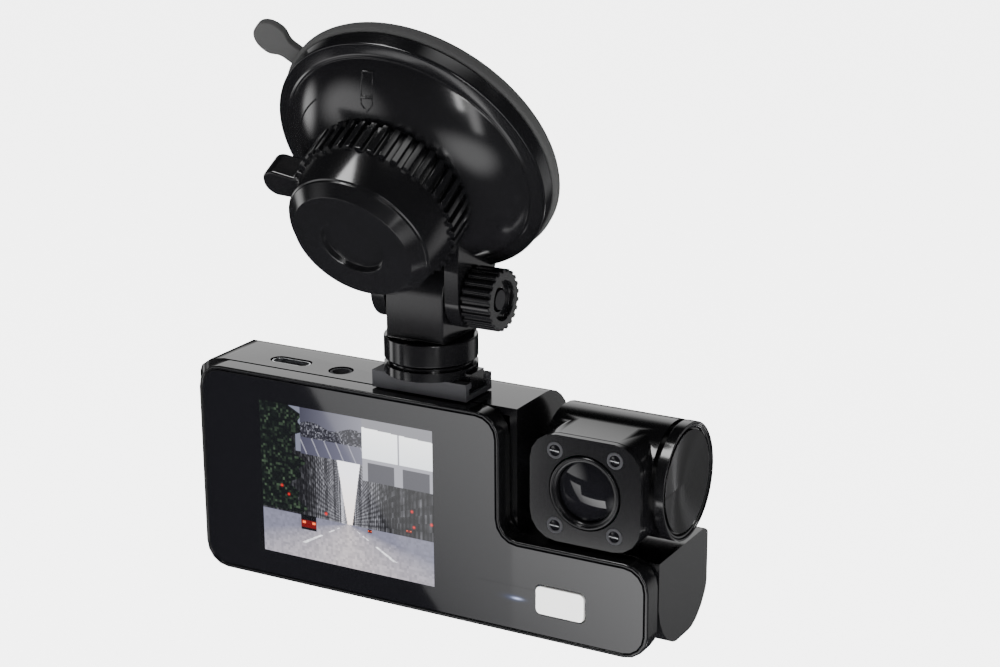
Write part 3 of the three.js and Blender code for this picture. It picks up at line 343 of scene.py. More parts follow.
def turned(name, profile, matrix, steps=None):
    """A closed profile of (radius, along) spun about its axis and put in place."""
    piece = drawn_line(name, [(radius, 0, along) for radius, along in profile])
    bpy.ops.mesh.spin(
        steps=steps or sizes().turn_steps, angle=2 * math.pi, center=(0, 0, 0), axis=(0, 0, 1)
    )
    bpy.ops.object.mode_set(mode="OBJECT")
    piece.data.transform(matrix)
    close_up(piece)
    return piece


def prism(name, outline, low, high, matrix):
    """A flat outline drawn, filled and pulled out from low to high."""
    piece = drawn_line(name, [(x, y, low) for x, y in outline])
    bpy.ops.mesh.edge_face_add()
    bpy.ops.mesh.extrude_region_move(TRANSFORM_OT_translate={"value": (0, 0, (high - low) * MM)})
    bpy.ops.object.mode_set(mode="OBJECT")
    piece.data.transform(matrix)
    close_up(piece)
    return piece


def rounded(corners, steps=10):
    """Corners of (x, y, radius) as an outline whose round corners are short steps."""
    points = []
    for index, (x, y, radius) in enumerate(corners):
        corner = Vector((x, y))
        if radius <= 0:
            points.append(corner)
            continue
        back = (Vector(corners[index - 1][:2]) - corner).normalized()
        on = (Vector(corners[(index + 1) % len(corners)][:2]) - corner).normalized()
        half = back.angle(on) / 2
        middle = corner + (back + on).normalized() * (radius / math.sin(half))
        first = corner + back * (radius / math.tan(half)) - middle
        last = corner + on * (radius / math.tan(half)) - middle
        turn = first.angle_signed(last)
        for step in range(steps + 1):
            points.append(middle + Matrix.Rotation(-turn * step / steps, 2) @ first)
    return points


def box_outline(left, right, low, high, radius):
    corners = ((left, low), (right, low), (right, high), (left, high))
    return rounded([(*corner, radius) for corner in corners])


def circle(x, y, radius, steps=64):
    turn = 2 * math.pi / steps
    return [
        (x + radius * math.cos(turn * step), y + radius * math.sin(turn * step))
        for step in range(steps)
    ]


def soften(piece, width, segments=3, limit=38):
    """Rounds the sharp edges and shades the rest smooth. Width is in millimetres."""
    select_only(piece)
    bevel = piece.modifiers.new("edges", "BEVEL")
    bevel.width = width * MM
    bevel.segments = segments
    bevel.limit_method = "ANGLE"
    bevel.angle_limit = math.radians(limit)
    bpy.ops.object.modifier_apply(modifier=bevel.name)
    bpy.ops.object.shade_smooth_by_angle(angle=SMOOTH)
    even = piece.modifiers.new("even", "WEIGHTED_NORMAL")
    even.keep_sharp = True
    bpy.ops.object.modifier_apply(modifier=even.name)
    return piece


def cut_away(piece, tool):
    select_only(piece)
    cut = piece.modifiers.new("cut", "BOOLEAN")
    cut.operation = "DIFFERENCE"
    cut.solver = "EXACT"
    cut.object = tool
    bpy.ops.object.modifier_apply(modifier=cut.name)
    bpy.data.objects.remove(tool)


def settle(piece, body, material, slot, *nodes):
    """Gives a finished piece its material and its body and hides the nodes it stands for; its slot is
    not used.
    """
    piece.data.materials.clear()
    piece.data.materials.append(material)
    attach(piece, body)
    if nodes:
        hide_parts(*nodes)
    return piece


def refined(node, name, body, material, slot, width, segments=3):
    """A merged copy of a plain node with moulded edges, which then stands for it."""
    mesh = frame["nodes"][node].data.copy()
    piece = bpy.data.objects.new(name, mesh)
    bpy.context.scene.collection.objects.link(piece)
    edit(piece)
    bpy.ops.mesh.remove_doubles(threshold=WELD)
    bpy.ops.mesh.dissolve_limited(angle_limit=FLAT)
    bpy.ops.object.mode_set(mode="OBJECT")
    soften(piece, width, segments)
    return settle(piece, body, material, slot, node)


def wire(name, points, radius):
    """A fine raised line through the points, which are in millimetres from the frame's origin."""
    curve = bpy.data.curves.new(name, "CURVE")
    curve.dimensions = "3D"
    curve.bevel_depth = radius
    curve.bevel_resolution = 2
    spline = curve.splines.new("POLY")
    spline.points.add(len(points) - 1)
    for place, point in zip(spline.points, points):
        place.co = (*point, 1)
    spline.use_cyclic_u = False
    curve.use_fill_caps = True
    piece = bpy.data.objects.new(name, curve)
    bpy.context.scene.collection.objects.link(piece)
    select_only(piece)
    bpy.ops.object.convert(target="MESH")
    piece = bpy.context.object
    bpy.ops.object.shade_smooth()
    return piece


def basis(origin, x_axis, y_axis, z_axis):
    columns = Matrix((x_axis, y_axis, z_axis)).transposed()
    return Matrix.Translation(origin) @ columns.to_4x4()


def from_glass(x, y, z):
    return GLASS_MIDDLE + Vector((x, y, z)) * MM


RIGHT, BACK, UP = Vector((1, 0, 0)), Vector((0, 1, 0)), Vector((0, 0, 1))
CUP = basis(CUP_AXIS * -CUP_FACE * MM, RIGHT, CUP_AXIS.cross(RIGHT), CUP_AXIS)


def along_x(x, y, z):
    """Outline in (y, z), pulled out to the right from a point measured from the glass."""
    return basis(from_glass(x, y, z), BACK, UP, RIGHT)


def along_y(x, y, z):
    """Outline in (x, z), pulled out to the back from a point measured from the glass."""
    return basis(from_glass(x, y, z), RIGHT, UP, BACK)


# ---------------------------------------------------------------- the cup

NECK_R, NECK_S, BULGE_R, BULGE_S, BELL_R, BELL_S = 15.3, 14.5, 21.4, 16.4, 24.9, 21.3
BELL_WALL = 1.8


def bell_point(share, inset=0.0):
    """Radius and place along the axis on the bell's curve."""
    stay, pull, go = (1 - share) ** 2, 2 * share * (1 - share), share**2
    return (
        stay * NECK_R + pull * BULGE_R + go * BELL_R - inset,
        stay * NECK_S + pull * BULGE_S + go * BELL_S + inset,
    )


def on_bell(radius, degrees, lift):
    """A point on the bell's outer face, turned from straight up, lifted off it a little."""
    low, high = 0.0, 1.0
    for _ in range(30):
        share = (low + high) / 2
        if bell_point(share)[0] < radius:
            low = share
        else:
            high = share
    along = bell_point(low)[1] - lift
    angle = math.radians(degrees - 90)
    return CUP @ (Vector((radius * math.cos(angle), radius * math.sin(angle), along)) * MM)


def cup_bell():
    curve = [bell_point(step / 28) for step in range(29)]
    inner = [bell_point(step / 28, BELL_WALL) for step in range(28, -1, -1)]
    profile = [
        (11.6, 3.2), (11.6, NECK_S), *curve,
        (25.15, 21.1), (25.4, 21.35), (25.7, 21.6), (27.3, 21.95),
        (27.55, 21.75), (27.8, 21.95), (27.85, 22.4), (28.0, 24.8),
        (26.2, 24.8), (25.8, 23.8), *inner, (9.8, NECK_S + BELL_WALL), (9.8, 3.2), (11.6, 3.2),
    ]
    return turned("cup_bell", profile, CUP)


def mount_ears():
    front, back = PIVOT_Y - 6.2, PIVOT_Y + 8.6
    outline = rounded([
        (front, HINGE_Z - 6.2, 6.1), (PIVOT_Y + 6.2, HINGE_Z - 6.2, 6.1),
        (PIVOT_Y + 6.2, HINGE_Z + 0.4, 0), (back, HINGE_Z + 4.4, 2), (back, HINGE_Z + 20, 0),
        (front + 1.4, HINGE_Z + 20, 0), (front, HINGE_Z + 6, 2),
    ])
    pieces = []
    for name, inner, outer in (("ear_left", -9.85, -6.85), ("ear_right", 6.85, 9.85)):
        ear = prism(name, outline, inner, outer, along_x(PIVOT_X, 0, 0))
        room = [(0, -20), (16.9, -20), (16.9, 14.2), (11.6, 14.2), (11.6, 15.4)]
        room += [bell_point(step / 10, 0.9) for step in range(11)]
        room += [(26.7, 22.9), (27.1, 24.8), (45, 24.8), (45, 42), (0, 42)]
        cut_away(ear, turned("room", room, CUP, 96))
        pieces.append(soften(ear, 0.4))
    return pieces


def cup_marks():
    """A plain pointer and a short line, raised on the bell."""
    def across(radius, offset):
        return on_bell(radius, math.degrees(offset / radius), 0.02)

    body = [
        across(r, o)
        for r, o in ((23.4, -1.15), (23.4, 1.15), (20.0, 1.15), (20.0, -1.15), (23.4, -1.15))
    ]
    head = [
        across(r, o)
        for r, o in ((19.7, -1.2), (19.7, 1.2), (18.7, 1.2), (17.4, 0), (18.7, -1.2), (19.7, -1.2))
    ]
    line = [on_bell(21.2, -36 - step * 1.25, 0.02) for step in range(21)]
    return [
        wire(name, points, sizes().bead)
        for name, points in (("pointer_body", body), ("pointer_head", head), ("cup_line", line))
    ]


class DASH_OT_cup(bpy.types.Operator):
    """Bell, ears and raised marks of the suction mount"""

    bl_idname = "dash.cup"
    bl_label = "Cup"

    def execute(self, context):
        bell = soften(cup_bell(), 0.14, 3, 30)
        settle(bell, "suction_mount", gloss_black(), "gloss_black", "cup_housing")
        for piece in mount_ears() + cup_marks():
            settle(piece, "suction_mount", gloss_black(), "gloss_black")
        return {"FINISHED"}


# ---------------------------------------------------------------- the pad


class DASH_OT_pad(bpy.types.Operator):
    """Soft pad with its pull tab"""

    bl_idname = "dash.pad"
    bl_label = "Suction pad"

    def execute(self, context):
        disc = turned("pad_disc", [
            (0, 24.4), (8.6, 24.4), (9.1, 25.7), (24.4, 25.7), (25.4, 25.1), (28.0, 25.1),
            (28.45, 25.4), (28.6, 25.9), (28.6, 27.0), (28.3, 27.5), (27.8, 27.6), (0, 27.6),
        ], CUP)
        settle(soften(disc, 0.12, 3, 25), "suction_mount", soft_black(), "soft_black", "suction_pad")
        outline = rounded([
            (26.5, -2.3, 0), (31, -2.3, 2.3), (33, -4, 2.3), (37.8, -4, 3.5),
            (37.8, 4, 3.5), (33, 4, 2.3), (31, 2.3, 2.3), (26.5, 2.3, 0),
        ])
        tab = prism("pull_tab", outline, 25.6, 27.1, CUP @ Matrix.Rotation(math.radians(223.5), 4, "Z"))
        settle(soften(tab, 0.3), "suction_mount", soft_black(), "soft_black")
        return {"FINISHED"}


# ---------------------------------------------------------------- the locking knob


def ribbed(root, tip, ribs, land):
    points = []
    for rib in range(ribs):
        for radius, share in ((root, 0), (tip, 0.06), (tip, land - 0.06), (root, land)):
            angle = 2 * math.pi * (rib + share) / ribs
            points.append((radius * math.cos(angle), radius * math.sin(angle)))
    return points


def hollowed(piece, radius, low, high, matrix):
    cut_away(piece, prism("bore", circle(0, 0, radius), low, high, matrix))


class DASH_OT_knob(bpy.types.Operator):
    """Locking knob with its ribs and lever"""

    bl_idname = "dash.knob"
    bl_label = "Locking knob"

    def execute(self, context):
        dish = [(6.0 * step / 8, -0.75 - 0.25 * (step / 8) ** 2) for step in range(9)]
        body = turned("knob_body", [
            *dish, (6.3, -1.9), (6.45, -2.13), (12.0, -2.13), (14.0, -0.1), (14.0, 0.25),
            (14.35, 0.45), (15.5, 7.1), (15.3, 14.0), (12.0, 14.0), (12.0, 1.4), (8.6, 1.4),
            (8.6, 9.0), (6.2, 9.0), (6.2, 1.4), (0, 1.4),
        ], CUP)
        settle(soften(body, 0.08, 3, 25), "lock_knob", gloss_black(), "gloss_black", "lock_knob")
        knurl = prism("knob_ribs", ribbed(15.5, 16.4, sizes().ribs, 0.58), 7.1, 14.0, CUP)
        hollowed(knurl, 13, 6, 15, CUP)
        settle(soften(knurl, 0.13, 2), "lock_knob", gloss_black(), "gloss_black")
        outline = rounded([
            (13, -3.3, 0), (17.4, -2.7, 1), (24.4, -3.3, 2.8),
            (24.4, 3.3, 2.8), (17.4, 2.7, 1), (13, 3.3, 0),
        ])
        at_lever = CUP @ Matrix.Rotation(math.radians(188.6), 4, "Z")
        lever = prism("knob_lever", outline, 8.0, 13.6, at_lever)
        settle(soften(lever, 0.5, 4), "lock_knob", gloss_black(), "gloss_black")
        return {"FINISHED"}


# ---------------------------------------------------------------- hinge and swivel


class DASH_OT_hinge(bpy.types.Operator):
    """Clamp knob, swivel post and sliding foot"""

    bl_idname = "dash.hinge"
    bl_label = "Hinge and swivel"

    def execute(self, context):
        at_hinge = along_x(PIVOT_X, PIVOT_Y, HINGE_Z)
        grip = prism("clamp_grip", ribbed(5.6, 6.1, sizes().flutes, 0.58), 10.2, 16.4, at_hinge)
        hollowed(grip, 3.9, 15.3, 17, at_hinge)
        hollowed(grip, 2.3, 9, 17, at_hinge)
        settle(soften(grip, 0.18), "clamp_knob", gloss_black(), "gloss_black", "clamp_knob")
        refined("swivel_post", "post", "swivel_post", gloss_black(), "gloss_black", 0.25, 4)
        refined("mount_foot", "sliding_foot", "mount_foot", gloss_black(), "gloss_black", 0.18)
        refined("clamp_bolt", "hinge_bolt", "suction_mount", dark_steel(), "steel", 0.12, 2)
        return {"FINISHED"}


# ---------------------------------------------------------------- the body


class DASH_OT_body(bpy.types.Operator):
    """Front, glass, rear housing, rail, key and screws"""

    bl_idname = "dash.body"
    bl_label = "Camera body"

    def execute(self, context):
        edge = sizes().edge / MM
        refined("front_bezel", "body_front", "camera_body", gloss_black(), "gloss_black", edge)
        refined("front_glass", "body_glass", "camera_body", dark_glass(), "dark_glass", 0.08, 2)
        refined("rear_housing", "body_rear", "camera_body", gloss_black(), "gloss_black", edge)
        refined("mount_rail", "body_rail", "camera_body", satin_black(), "satin_black", 0.2)
        refined("power_button", "white_key", "power_button", white_key(), "white_key", 0.22)
        for index in range(1, 5):
            node, name = f"case_screw_{index}", f"body_screw_{index}"
            refined(node, name, "camera_body", steel(), "steel", 0.12, 2)
        refined("usb_c_shell", "socket_shell", "camera_body", steel(), "steel", 0.05, 2)
        refined("av_jack", "round_socket", "camera_body", satin_black(), "satin_black", 0.1, 2)
        return {"FINISHED"}


# ---------------------------------------------------------------- the display

WIDE, HIGH = 40.8, 32.7


def mixed(first, second, share):
    return tuple(a + (b - a) * share for a, b in zip(first, second))


def speck(u, v, across, up):
    """A number from 0 to 1 that is the same all over one cell of a grid."""
    value = math.sin(math.floor(u * across) * 12.99 + math.floor(v * up) * 78.23) * 43758.5
    return value - math.floor(value)


def cabin_view(u, v):
    """An empty cabin: rear window, roof lining and the square tops of two seats."""
    if v > 0.86 - 0.05 * u:
        return (0.42, 0.42, 0.44)
    for middle in (0.27, 0.77):
        if abs(u - middle) < 0.19 and v < 0.30:
            return (0.24, 0.24, 0.26)
    if abs(u - 0.52) < 0.012 or v < 0.36:
        return (0.50, 0.50, 0.53)
    return mixed((0.80, 0.83, 0.86), (1.0, 1.0, 1.0), v)


def rear_view(u, v):
    """The road behind: pale sky, a dark line of parked cars, grey road."""
    if v > 0.66 + 0.06 * math.sin(u * 9):
        return mixed((0.20, 0.20, 0.24), (0.40, 0.40, 0.44), u)
    if v > 0.36:
        return mixed((0.10, 0.10, 0.12), (0.42, 0.42, 0.45), speck(u, v, 60, 34) ** 3)
    lane = abs(math.fmod(u * 5 + v * 1.6, 1.0) - 0.5) < 0.04
    return (0.50, 0.50, 0.54) if lane else mixed((0.22, 0.22, 0.27), (0.34, 0.34, 0.39), u)


def street(u, v):
    """A road running away between buildings, with trees on the left."""
    far_u, far_v = 0.51, 0.29
    if v < far_v:
        depth = (far_v - v) / far_v
        side = (u - far_u) / max(depth, 0.02)
        shade = mixed((0.66, 0.63, 0.64), (0.40, 0.40, 0.46), min(abs(side) * 0.9, 1))
        for lane in (-0.42, 0.42):
            if abs(side - lane) < 0.02 and math.fmod(1 / (depth + 0.08), 1.4) < 0.8:
                shade = (0.92, 0.92, 0.94)
        return mixed(shade, (0.25, 0.25, 0.28), 0.3 * speck(u, v, 70, 60))
    height = v - far_v
    away = abs(u - far_u)
    leaf = 0.22 + 0.03 * math.sin(v * 23) + 0.02 * math.sin(v * 61)
    if u < leaf and v > 0.30:
        return mixed((0.03, 0.045, 0.035), (0.20, 0.25, 0.19), speck(u, v, 80, 64) ** 4)
    if abs(u - far_u - 0.01) < 0.014 + 0.13 * height:
        return mixed((0.97, 0.90, 0.86), (0.97, 0.97, 1.0), min(height * 3, 1))
    column = math.log(away + 0.02) * 7
    tower = speck(column, 0, 1, 1)
    if height > (0.75 + 1.3 * tower) * away + 0.10 and height > 0.42:
        return (0.36, 0.37, 0.42)
    bright = max(0.12, 0.62 - 1.9 * away) * (0.6 + 0.7 * tower)
    stripe = 0.60 + 0.40 * math.sin(column * 15)
    floor = 0.75 + 0.25 * math.sin(height / (away + 0.05) * 42)
    lit = 0.16 * speck(column * 5, height / (away + 0.05) * 9, 1, 1) ** 5
    level = bright * stripe * floor + lit + 0.04
    return (level, level, level * 1.05)


CARS = ((0.275, 0.245, 0.045, 0.050), (0.635, 0.275, 0.012, 0.012), (0.86, 0.33, 0.016, 0.016))
TAIL_LIGHTS = ((0.12, 0.46), (0.16, 0.41), (0.38, 0.33), (0.88, 0.46), (0.89, 0.36), (0.99, 0.40))


def picture(u, v):
    shade = street(u, v)
    for x, y, wide, high in CARS:
        across, up = abs(u - x) / wide, (v - y) / high
        if across < 1 and abs(up) < 1:
            shade = (0.03, 0.03, 0.035) if up > 0.3 or up < -0.7 else (0.34, 0.045, 0.03)
            if 0.45 < across < 0.85 and -0.2 < up < 0.15:
                shade = (1.0, 0.42, 0.22)
    for x, y in TAIL_LIGHTS:
        near = math.hypot(u - x, (v - y) * 0.8)
        shade = mixed(shade, (0.95, 0.10, 0.08), max(0, 1 - near / 0.012))
    if 0.24 < u < 0.60 and v > 0.70:
        shade = rear_view((u - 0.24) / 0.36, (v - 0.70) / 0.30)
    if u > 0.60 and v > 0.60:
        shade = cabin_view((u - 0.60) / 0.40, (v - 0.60) / 0.40)
    return tuple(part**2.2 for part in shade)


def lit_sheet(name, wide, high, centre, across, up, shade, strength):
    """A fine flat sheet whose corners each hold the light that shade gives for their place."""
    select_only(None)
    bpy.ops.mesh.primitive_grid_add(x_subdivisions=across, y_subdivisions=up, size=1)
    sheet = bpy.context.object
    sheet.name = name
    sheet.data.name = name
    edit(sheet)
    bpy.ops.transform.resize(value=(wide * MM, high * MM, 1))
    bpy.ops.object.mode_set(mode="OBJECT")
    light = sheet.data.color_attributes.new("light", "FLOAT_COLOR", "POINT")
    for corner, value in zip(sheet.data.vertices, light.data):
        u, v = corner.co.x / (wide * MM) + 0.5, corner.co.y / (high * MM) + 0.5
        value.color = (*shade(u, v), 1)
    sheet.data.transform(basis(centre, RIGHT, UP, -BACK))
    return settle(sheet, "camera_body", lit_glass(strength), "screen")


def lamp_glow(u, v):
    near = math.exp(-((u - 0.58) ** 2) / 0.022 - ((v - 0.5) ** 2) / 0.012)
    core = math.exp(-((u - 0.62) ** 2) / 0.0045 - ((v - 0.5) ** 2) / 0.0016)
    return tuple(0.10 * near * part + 1.6 * core * (0.5 + 0.5 * part) for part in (0.15, 0.3, 1.0))


class DASH_OT_display(bpy.types.Operator):
    """Picture on the display and the status light's glow"""

    bl_idname = "dash.display"
    bl_label = "Display"

    def execute(self, context):
        lit_sheet("display_picture", WIDE, HIGH, from_glass(0, -0.03, 0), 330, 264, picture, 2.5)
        lit_sheet("status_glow", 14, 5, from_glass(37.4, -0.03, -14.9), 70, 30, lamp_glow, 1.0)
        return {"FINISHED"}


# ---------------------------------------------------------------- cabin camera


def lens(name, radius, sag, deep, matrix):
    bend = (radius**2 + sag**2) / (2 * sag)
    dome = [
        (radius * step / 16, bend - math.sqrt(bend**2 - (radius * step / 16) ** 2))
        for step in range(17)
    ]
    return turned(name, [*dome, (radius, deep), (0, deep)], matrix)


def turning_map(piece, middle):
    """Own map whose first direction runs out from the X axis, across the turned lines."""
    layer = piece.data.uv_layers.new(name="round")
    for loop in piece.data.loops:
        place = piece.data.vertices[loop.vertex_index].co - middle
        angle = math.atan2(place.z, place.y) / (2 * math.pi)
        layer.data[loop.index].uv = (math.hypot(place.y, place.z) / (12 * MM), angle)


def infrared_lamp(index, x, z):
    """A clear dome in a dark collar over a bright bar."""
    body, place = "cabin_camera", along_y(x, CABIN_FACE, z)
    collar = turned(f"lamp_collar_{index}", [
        (1.15, -0.12), (1.6, -0.12), (1.7, 0.0), (1.45, 0.3), (1.15, 0.3), (1.15, -0.12),
    ], place, 48)
    settle(soften(collar, 0.04, 2, 25), body, satin_black(), "satin_black")
    dome = lens(f"lamp_dome_{index}", 1.15, 0.25, 1.0, along_y(x, CABIN_FACE - 0.05, z))
    settle(soften(dome, 0.02, 1, 60), body, dark_glass(), "dark_glass", f"cabin_infrared_led_{index}")
    bar = prism(f"lamp_bar_{index}", box_outline(-0.98, 0.98, -0.17, 0.17, 0.15), -0.34, 0.2, place)
    settle(soften(bar, 0.04, 2), body, steel(), "steel")


class DASH_OT_cabin(bpy.types.Operator):
    """Cabin camera with its lens, lamps and end disc"""

    bl_idname = "dash.cabin"
    bl_label = "Cabin camera"

    def execute(self, context):
        body = "cabin_camera"
        refined("cabin_housing", "cabin_shell", body, gloss_black(), "gloss_black", 0.5, 4)
        refined("cabin_face_plate", "cabin_plate", body, gloss_black(), "gloss_black", 0.3, 4)
        face = along_y(CABIN_X, CABIN_FACE, CABIN_Z)
        collar = turned("lens_collar", [
            (6.05, 3.6), (6.05, 0.3), (6.25, 0.0), (6.6, 0.0), (6.7, -0.4), (7.15, -0.4),
            (7.3, -0.2), (7.3, 3.6), (6.05, 3.6),
        ], face)
        settle(soften(collar, 0.08, 3, 25), body, gloss_black(), "satin_black", "cabin_lens_ring")
        front = lens("cabin_glass", 5.9, 0.9, 2.6, along_y(CABIN_X, CABIN_FACE + 0.25, CABIN_Z))
        settle(soften(front, 0.03, 1, 60), body, dark_glass(), "dark_glass", "cabin_lens")
        spots = [(x, z) for z in (7.6, -7.6) for x in (-6.3, 6.3)]
        for index, (x, z) in enumerate(spots, 1):
            infrared_lamp(index, CABIN_X + x, CABIN_Z + z)
        end = along_x(65.4, BARREL_Y, BARREL_Z)
        ring = turned("end_ring", [
            (0, 0), (11.7, 0), (11.7, 2.1), (11.3, 2.1),
            (11.1, 1.8), (10.7, 1.8), (10.4, 1.3), (0, 1.3),
        ], end)
        settle(soften(ring, 0.12, 3, 25), body, gloss_black(), "gloss_black", "cabin_end_ring")
        disc = turned("end_disc", [(0, 1.45), (10.0, 1.6), (10.1, 1.9), (0, 1.75)], end)
        turning_map(disc, from_glass(65.4, BARREL_Y, BARREL_Z))
        settle(soften(disc, 0.03, 1, 60), body, turned_metal(), "brushed_disc", "cabin_end_disc")
        return {"FINISHED"}


# ---------------------------------------------------------------- road camera and inner pieces


class DASH_OT_road(bpy.types.Operator):
    """Camera in the middle of the back"""

    bl_idname = "dash.road"
    bl_label = "Road camera"

    def execute(self, context):
        body = "camera_body"
        refined("road_lens_barrel", "road_barrel", body, satin_black(), "satin_black", 0.25)
        refined("road_lens_ring", "road_ring", body, steel(), "steel", 0.25)
        facing_back = basis(from_glass(0, 30.7, -2), RIGHT, UP, -BACK)
        glass = lens("road_glass", 5.2, 1.3, 2.6, facing_back)
        settle(soften(glass, 0.03, 1, 60), body, dark_glass(), "dark_glass", "road_lens")
        return {"FINISHED"}


INNER = {
    steel: ("release_spring", "cross_pin", "swivel_screw", "button_switch", "rail_screw_1",
            "rail_screw_2", "microphone", "card_socket"),
    satin_black: ("plunger_stem", "friction_washer", "usb_c_tongue", "cabin_axle"),
    brass: ("clamp_nut",),
    board_green: ("main_board", "road_sensor_board", "cabin_sensor_board"),
    chip: ("processor_chip", "memory_chip", "speaker", "display_panel"),
    foil: ("battery",),
    amber: ("display_ribbon", "button_board"),
    lamp_blue: ("status_light",),
}


class DASH_OT_inner(bpy.types.Operator):
    """Finishes of the pieces inside the case and the mount"""

    bl_idname = "dash.inner"
    bl_label = "Inner pieces"

    def execute(self, context):
        for finish, nodes in INNER.items():
            for node in nodes:
                mesh = frame["nodes"][node].data
                mesh.materials.clear()
                mesh.materials.append(finish())
        return {"FINISHED"}


# ---------------------------------------------------------------- the stage


def softbox(name, place, aim, wide, high, power):
    light = bpy.data.lights.new(name, "AREA")
    light.shape = "RECTANGLE"
    light.size, light.size_y, light.energy = wide, high, power
    lamp = bpy.data.objects.new(name, light)
    bpy.context.scene.collection.objects.link(lamp)
    lamp.location = place
    lamp.rotation_mode = "QUATERNION"
    lamp.rotation_quaternion = (Vector(aim) - Vector(place)).to_track_quat("-Z", "Y")


def board(name, corners, levels):
    """A studio board that only polished surfaces see, lit to a level at each corner."""
    select_only(None)
    bpy.ops.mesh.primitive_plane_add(size=1)
    bpy.ops.object.mode_set(mode="EDIT")
    bpy.ops.mesh.subdivide(number_cuts=15)
    bpy.ops.object.mode_set(mode="OBJECT")
    piece = bpy.context.object
    piece.name = name
    low_left, low_right, high_right, high_left = corners
    light = piece.data.color_attributes.new("light", "FLOAT_COLOR", "POINT")
    for corner, value in zip(piece.data.vertices, light.data):
        u, v = corner.co.x + 0.5, corner.co.y + 0.5
        corner.co = low_left.lerp(low_right, u).lerp(high_left.lerp(high_right, u), v)
        low = levels[0] + (levels[1] - levels[0]) * u
        high = levels[3] + (levels[2] - levels[3]) * u
        level = low + (high - low) * v
        value.color = (level, level, level, 1)
    piece.data.materials.append(lit_glass(1.0))
    hide_board(piece)


def mirror_board(name, direction, away, wide, high, strength):
    """A soft board in the direction a polished face mirrors, turned towards the object."""
    select_only(None)
    bpy.ops.mesh.primitive_plane_add(size=2)
    piece = bpy.context.object
    piece.name = name
    aim = Vector(direction).normalized()
    piece.location = aim * away + Vector((0, 0, -0.04))
    piece.rotation_mode = "QUATERNION"
    piece.rotation_quaternion = (-aim).to_track_quat("Z", "Y")
    piece.scale = (wide / 2, high / 2, 1)
    piece.data.materials.append(glow(name, strength))
    hide_board(piece)


def hide_board(piece):
    piece.visible_camera = False
    piece.visible_diffuse = False
    piece.visible_shadow = False
    piece.visible_transmission = False


def studio_camera():
    data = bpy.data.cameras.new("camera")
    data.lens, data.sensor_width = CAMERA_LENS, CAMERA_SENSOR
    data.clip_start, data.clip_end = CAMERA_NEAR, CAMERA_FAR
    camera = bpy.data.objects.new("camera", data)
    bpy.context.scene.collection.objects.link(camera)
    azimuth, elevation = math.radians(CAMERA_TURN), math.radians(CAMERA_DOWN)
    roll = math.radians(CAMERA_ROLL)
    ahead = Vector((
        -math.sin(azimuth) * math.cos(elevation), math.cos(azimuth) * math.cos(elevation),
        -math.sin(elevation),
    ))
    camera.location = CAMERA_PLACE
    camera.rotation_mode = "QUATERNION"
    camera.rotation_quaternion = Quaternion(ahead, roll) @ ahead.to_track_quat("-Z", "Y")
    bpy.context.scene.camera = camera
    return camera


def mirrored(camera, x, z, plane):
    """Where a polished glass shows the camera its surroundings, on an upright plane in front."""
    spot = from_glass(x, 0, z)
    eye = camera.location.copy()
    eye.y = 2 * spot.y - eye.y
    return eye + (spot - eye) * ((plane - eye.y) / (spot.y - eye.y))


# Name, where the glass shows each corner, the level at each corner, and the board's plane.
GLASS_BOARDS = (
    ("pale_left", ((26.8, -30), (38, -30), (38, 26), (-11.2, 26)), (1.0, 1.6, 3.4, 2.2), -0.20),
    ("pale_right", ((38, -30), (110, -30), (110, -2.4), (38, -2.4)), (1.6, 5.0, 6.0, 3.2), -0.20),
    ("dark_back", ((-70, -45), (110, -45), (110, 45), (-70, 45)), (0.02, 0.02, 0.02, 0.02), -0.202),
)

# Name, direction, distance, width, height and strength. Distances are in metres.
MIRROR_BOARDS = (
    ("board_top", (-0.466, 0.835, 0.30), 1.0, 1.3, 0.9, 1.5),
    ("board_end", (0.50, 0.82, -0.27), 1.0, 0.8, 0.8, 0.55),
    ("board_strip", (0.70, -0.70, 0.02), 0.9, 0.22, 1.5, 4.5),
    ("board_bell_left", (-0.70, -0.69, -0.19), 0.8, 0.85, 0.8, 2.2),
    ("board_bell_right", (0.43, -0.68, -0.58), 0.8, 0.95, 0.6, 2.6),
    ("board_bevel_left", (-0.98, -0.11, -0.16), 0.8, 0.35, 0.5, 3.2),
    ("board_low", (0.25, 0.31, -0.90), 0.8, 0.5, 0.35, 2.0),
    ("board_high", (0.35, 0.20, 0.92), 0.9, 0.35, 0.8, 3.0),
    ("board_fan", (0.62, 0.42, 0.66), 0.8, 0.22, 0.22, 9.0),
    ("board_fan_low", (0.40, 0.74, -0.72), 0.8, 0.18, 0.18, 9.0),
)


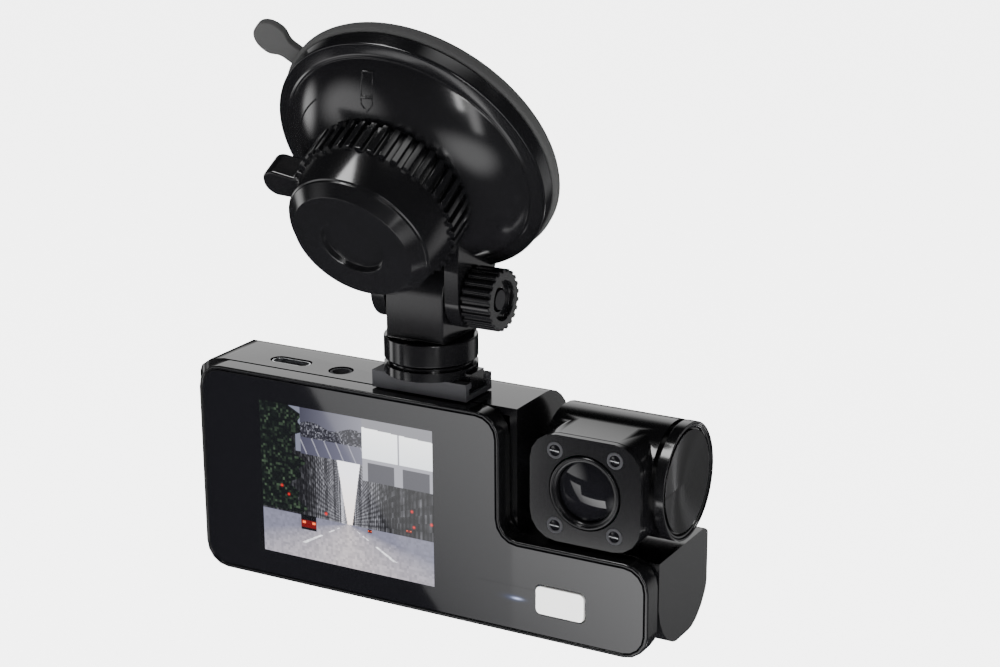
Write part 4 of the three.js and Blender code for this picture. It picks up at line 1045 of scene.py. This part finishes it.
class DASH_OT_stage(bpy.types.Operator):
    """Floor, lights, boards and camera"""

    bl_idname = "dash.stage"
    bl_label = "Stage"

    def execute(self, context):
        floor_height = CAD_BOX[0][2] - FLOOR_DROP
        select_only(None)
        bpy.ops.mesh.primitive_plane_add(size=FLOOR_SIZE, location=(0, 0, floor_height))
        floor = bpy.context.object
        floor.name = "floor"
        paper = plastic("studio_paper", finishes().floor, 0.8, 0.05, 20, 0.0)
        shader = paper.node_tree.nodes["Principled BSDF"]
        shader.inputs["Emission Color"].default_value = (1, 1, 1, 1)
        shader.inputs["Emission Strength"].default_value = FLOOR_LIGHT
        floor.visible_glossy = False
        floor.data.materials.append(paper)
        camera = studio_camera()
        for name, places, levels, plane in GLASS_BOARDS:
            board(name, [mirrored(camera, x, z, plane) for x, z in places], levels)
        for board_values in MIRROR_BOARDS:
            mirror_board(*board_values)
        softbox("top_box", (-0.25, -0.25, 0.70), (0, 0, -0.05), 0.40, 0.30, 6.0)
        softbox("front_box", (0.55, -0.75, 0.25), (0, 0, -0.03), 0.10, 0.50, 2.5)
        world = bpy.data.worlds.new("studio")
        world.use_nodes = True
        world.node_tree.nodes["Background"].inputs["Color"].default_value = DARK_SURROUND
        bpy.context.scene.world = world
        return {"FINISHED"}


class DASH_PT_panel(bpy.types.Panel):
    """Lists the pieces in the sidebar"""

    bl_idname = "DASH_PT_panel"
    bl_label = "Dash Camera"
    bl_space_type = "VIEW_3D"
    bl_region_type = "UI"
    bl_category = "Dash Camera"

    def draw(self, context):
        for group in (context.scene.dash_camera_sizes, context.scene.dash_camera_finishes):
            for name in group.__annotations__:
                self.layout.prop(group, name)
        for operator in OPERATORS:
            self.layout.operator(operator.bl_idname)


OPERATORS = (
    DASH_OT_stage, DASH_OT_cup, DASH_OT_pad, DASH_OT_knob, DASH_OT_hinge, DASH_OT_body,
    DASH_OT_display, DASH_OT_cabin, DASH_OT_road, DASH_OT_inner,
)
CLASSES = (DashCameraSizes, DashCameraFinishes, *OPERATORS, DASH_PT_panel)


def register():
    for kind in CLASSES:
        bpy.utils.register_class(kind)
    bpy.types.Scene.dash_camera_sizes = bpy.props.PointerProperty(type=DashCameraSizes)
    bpy.types.Scene.dash_camera_finishes = bpy.props.PointerProperty(type=DashCameraFinishes)


def unregister():
    del bpy.types.Scene.dash_camera_finishes
    del bpy.types.Scene.dash_camera_sizes
    for kind in reversed(CLASSES):
        bpy.utils.unregister_class(kind)


def main():
    register()
    bpy.ops.dash.stage()
    bpy.ops.dash.cup()
    bpy.ops.dash.pad()
    bpy.ops.dash.knob()
    bpy.ops.dash.hinge()
    bpy.ops.dash.body()
    bpy.ops.dash.display()
    bpy.ops.dash.cabin()
    bpy.ops.dash.road()
    bpy.ops.dash.inner()


if __name__ == "__main__":
    main()
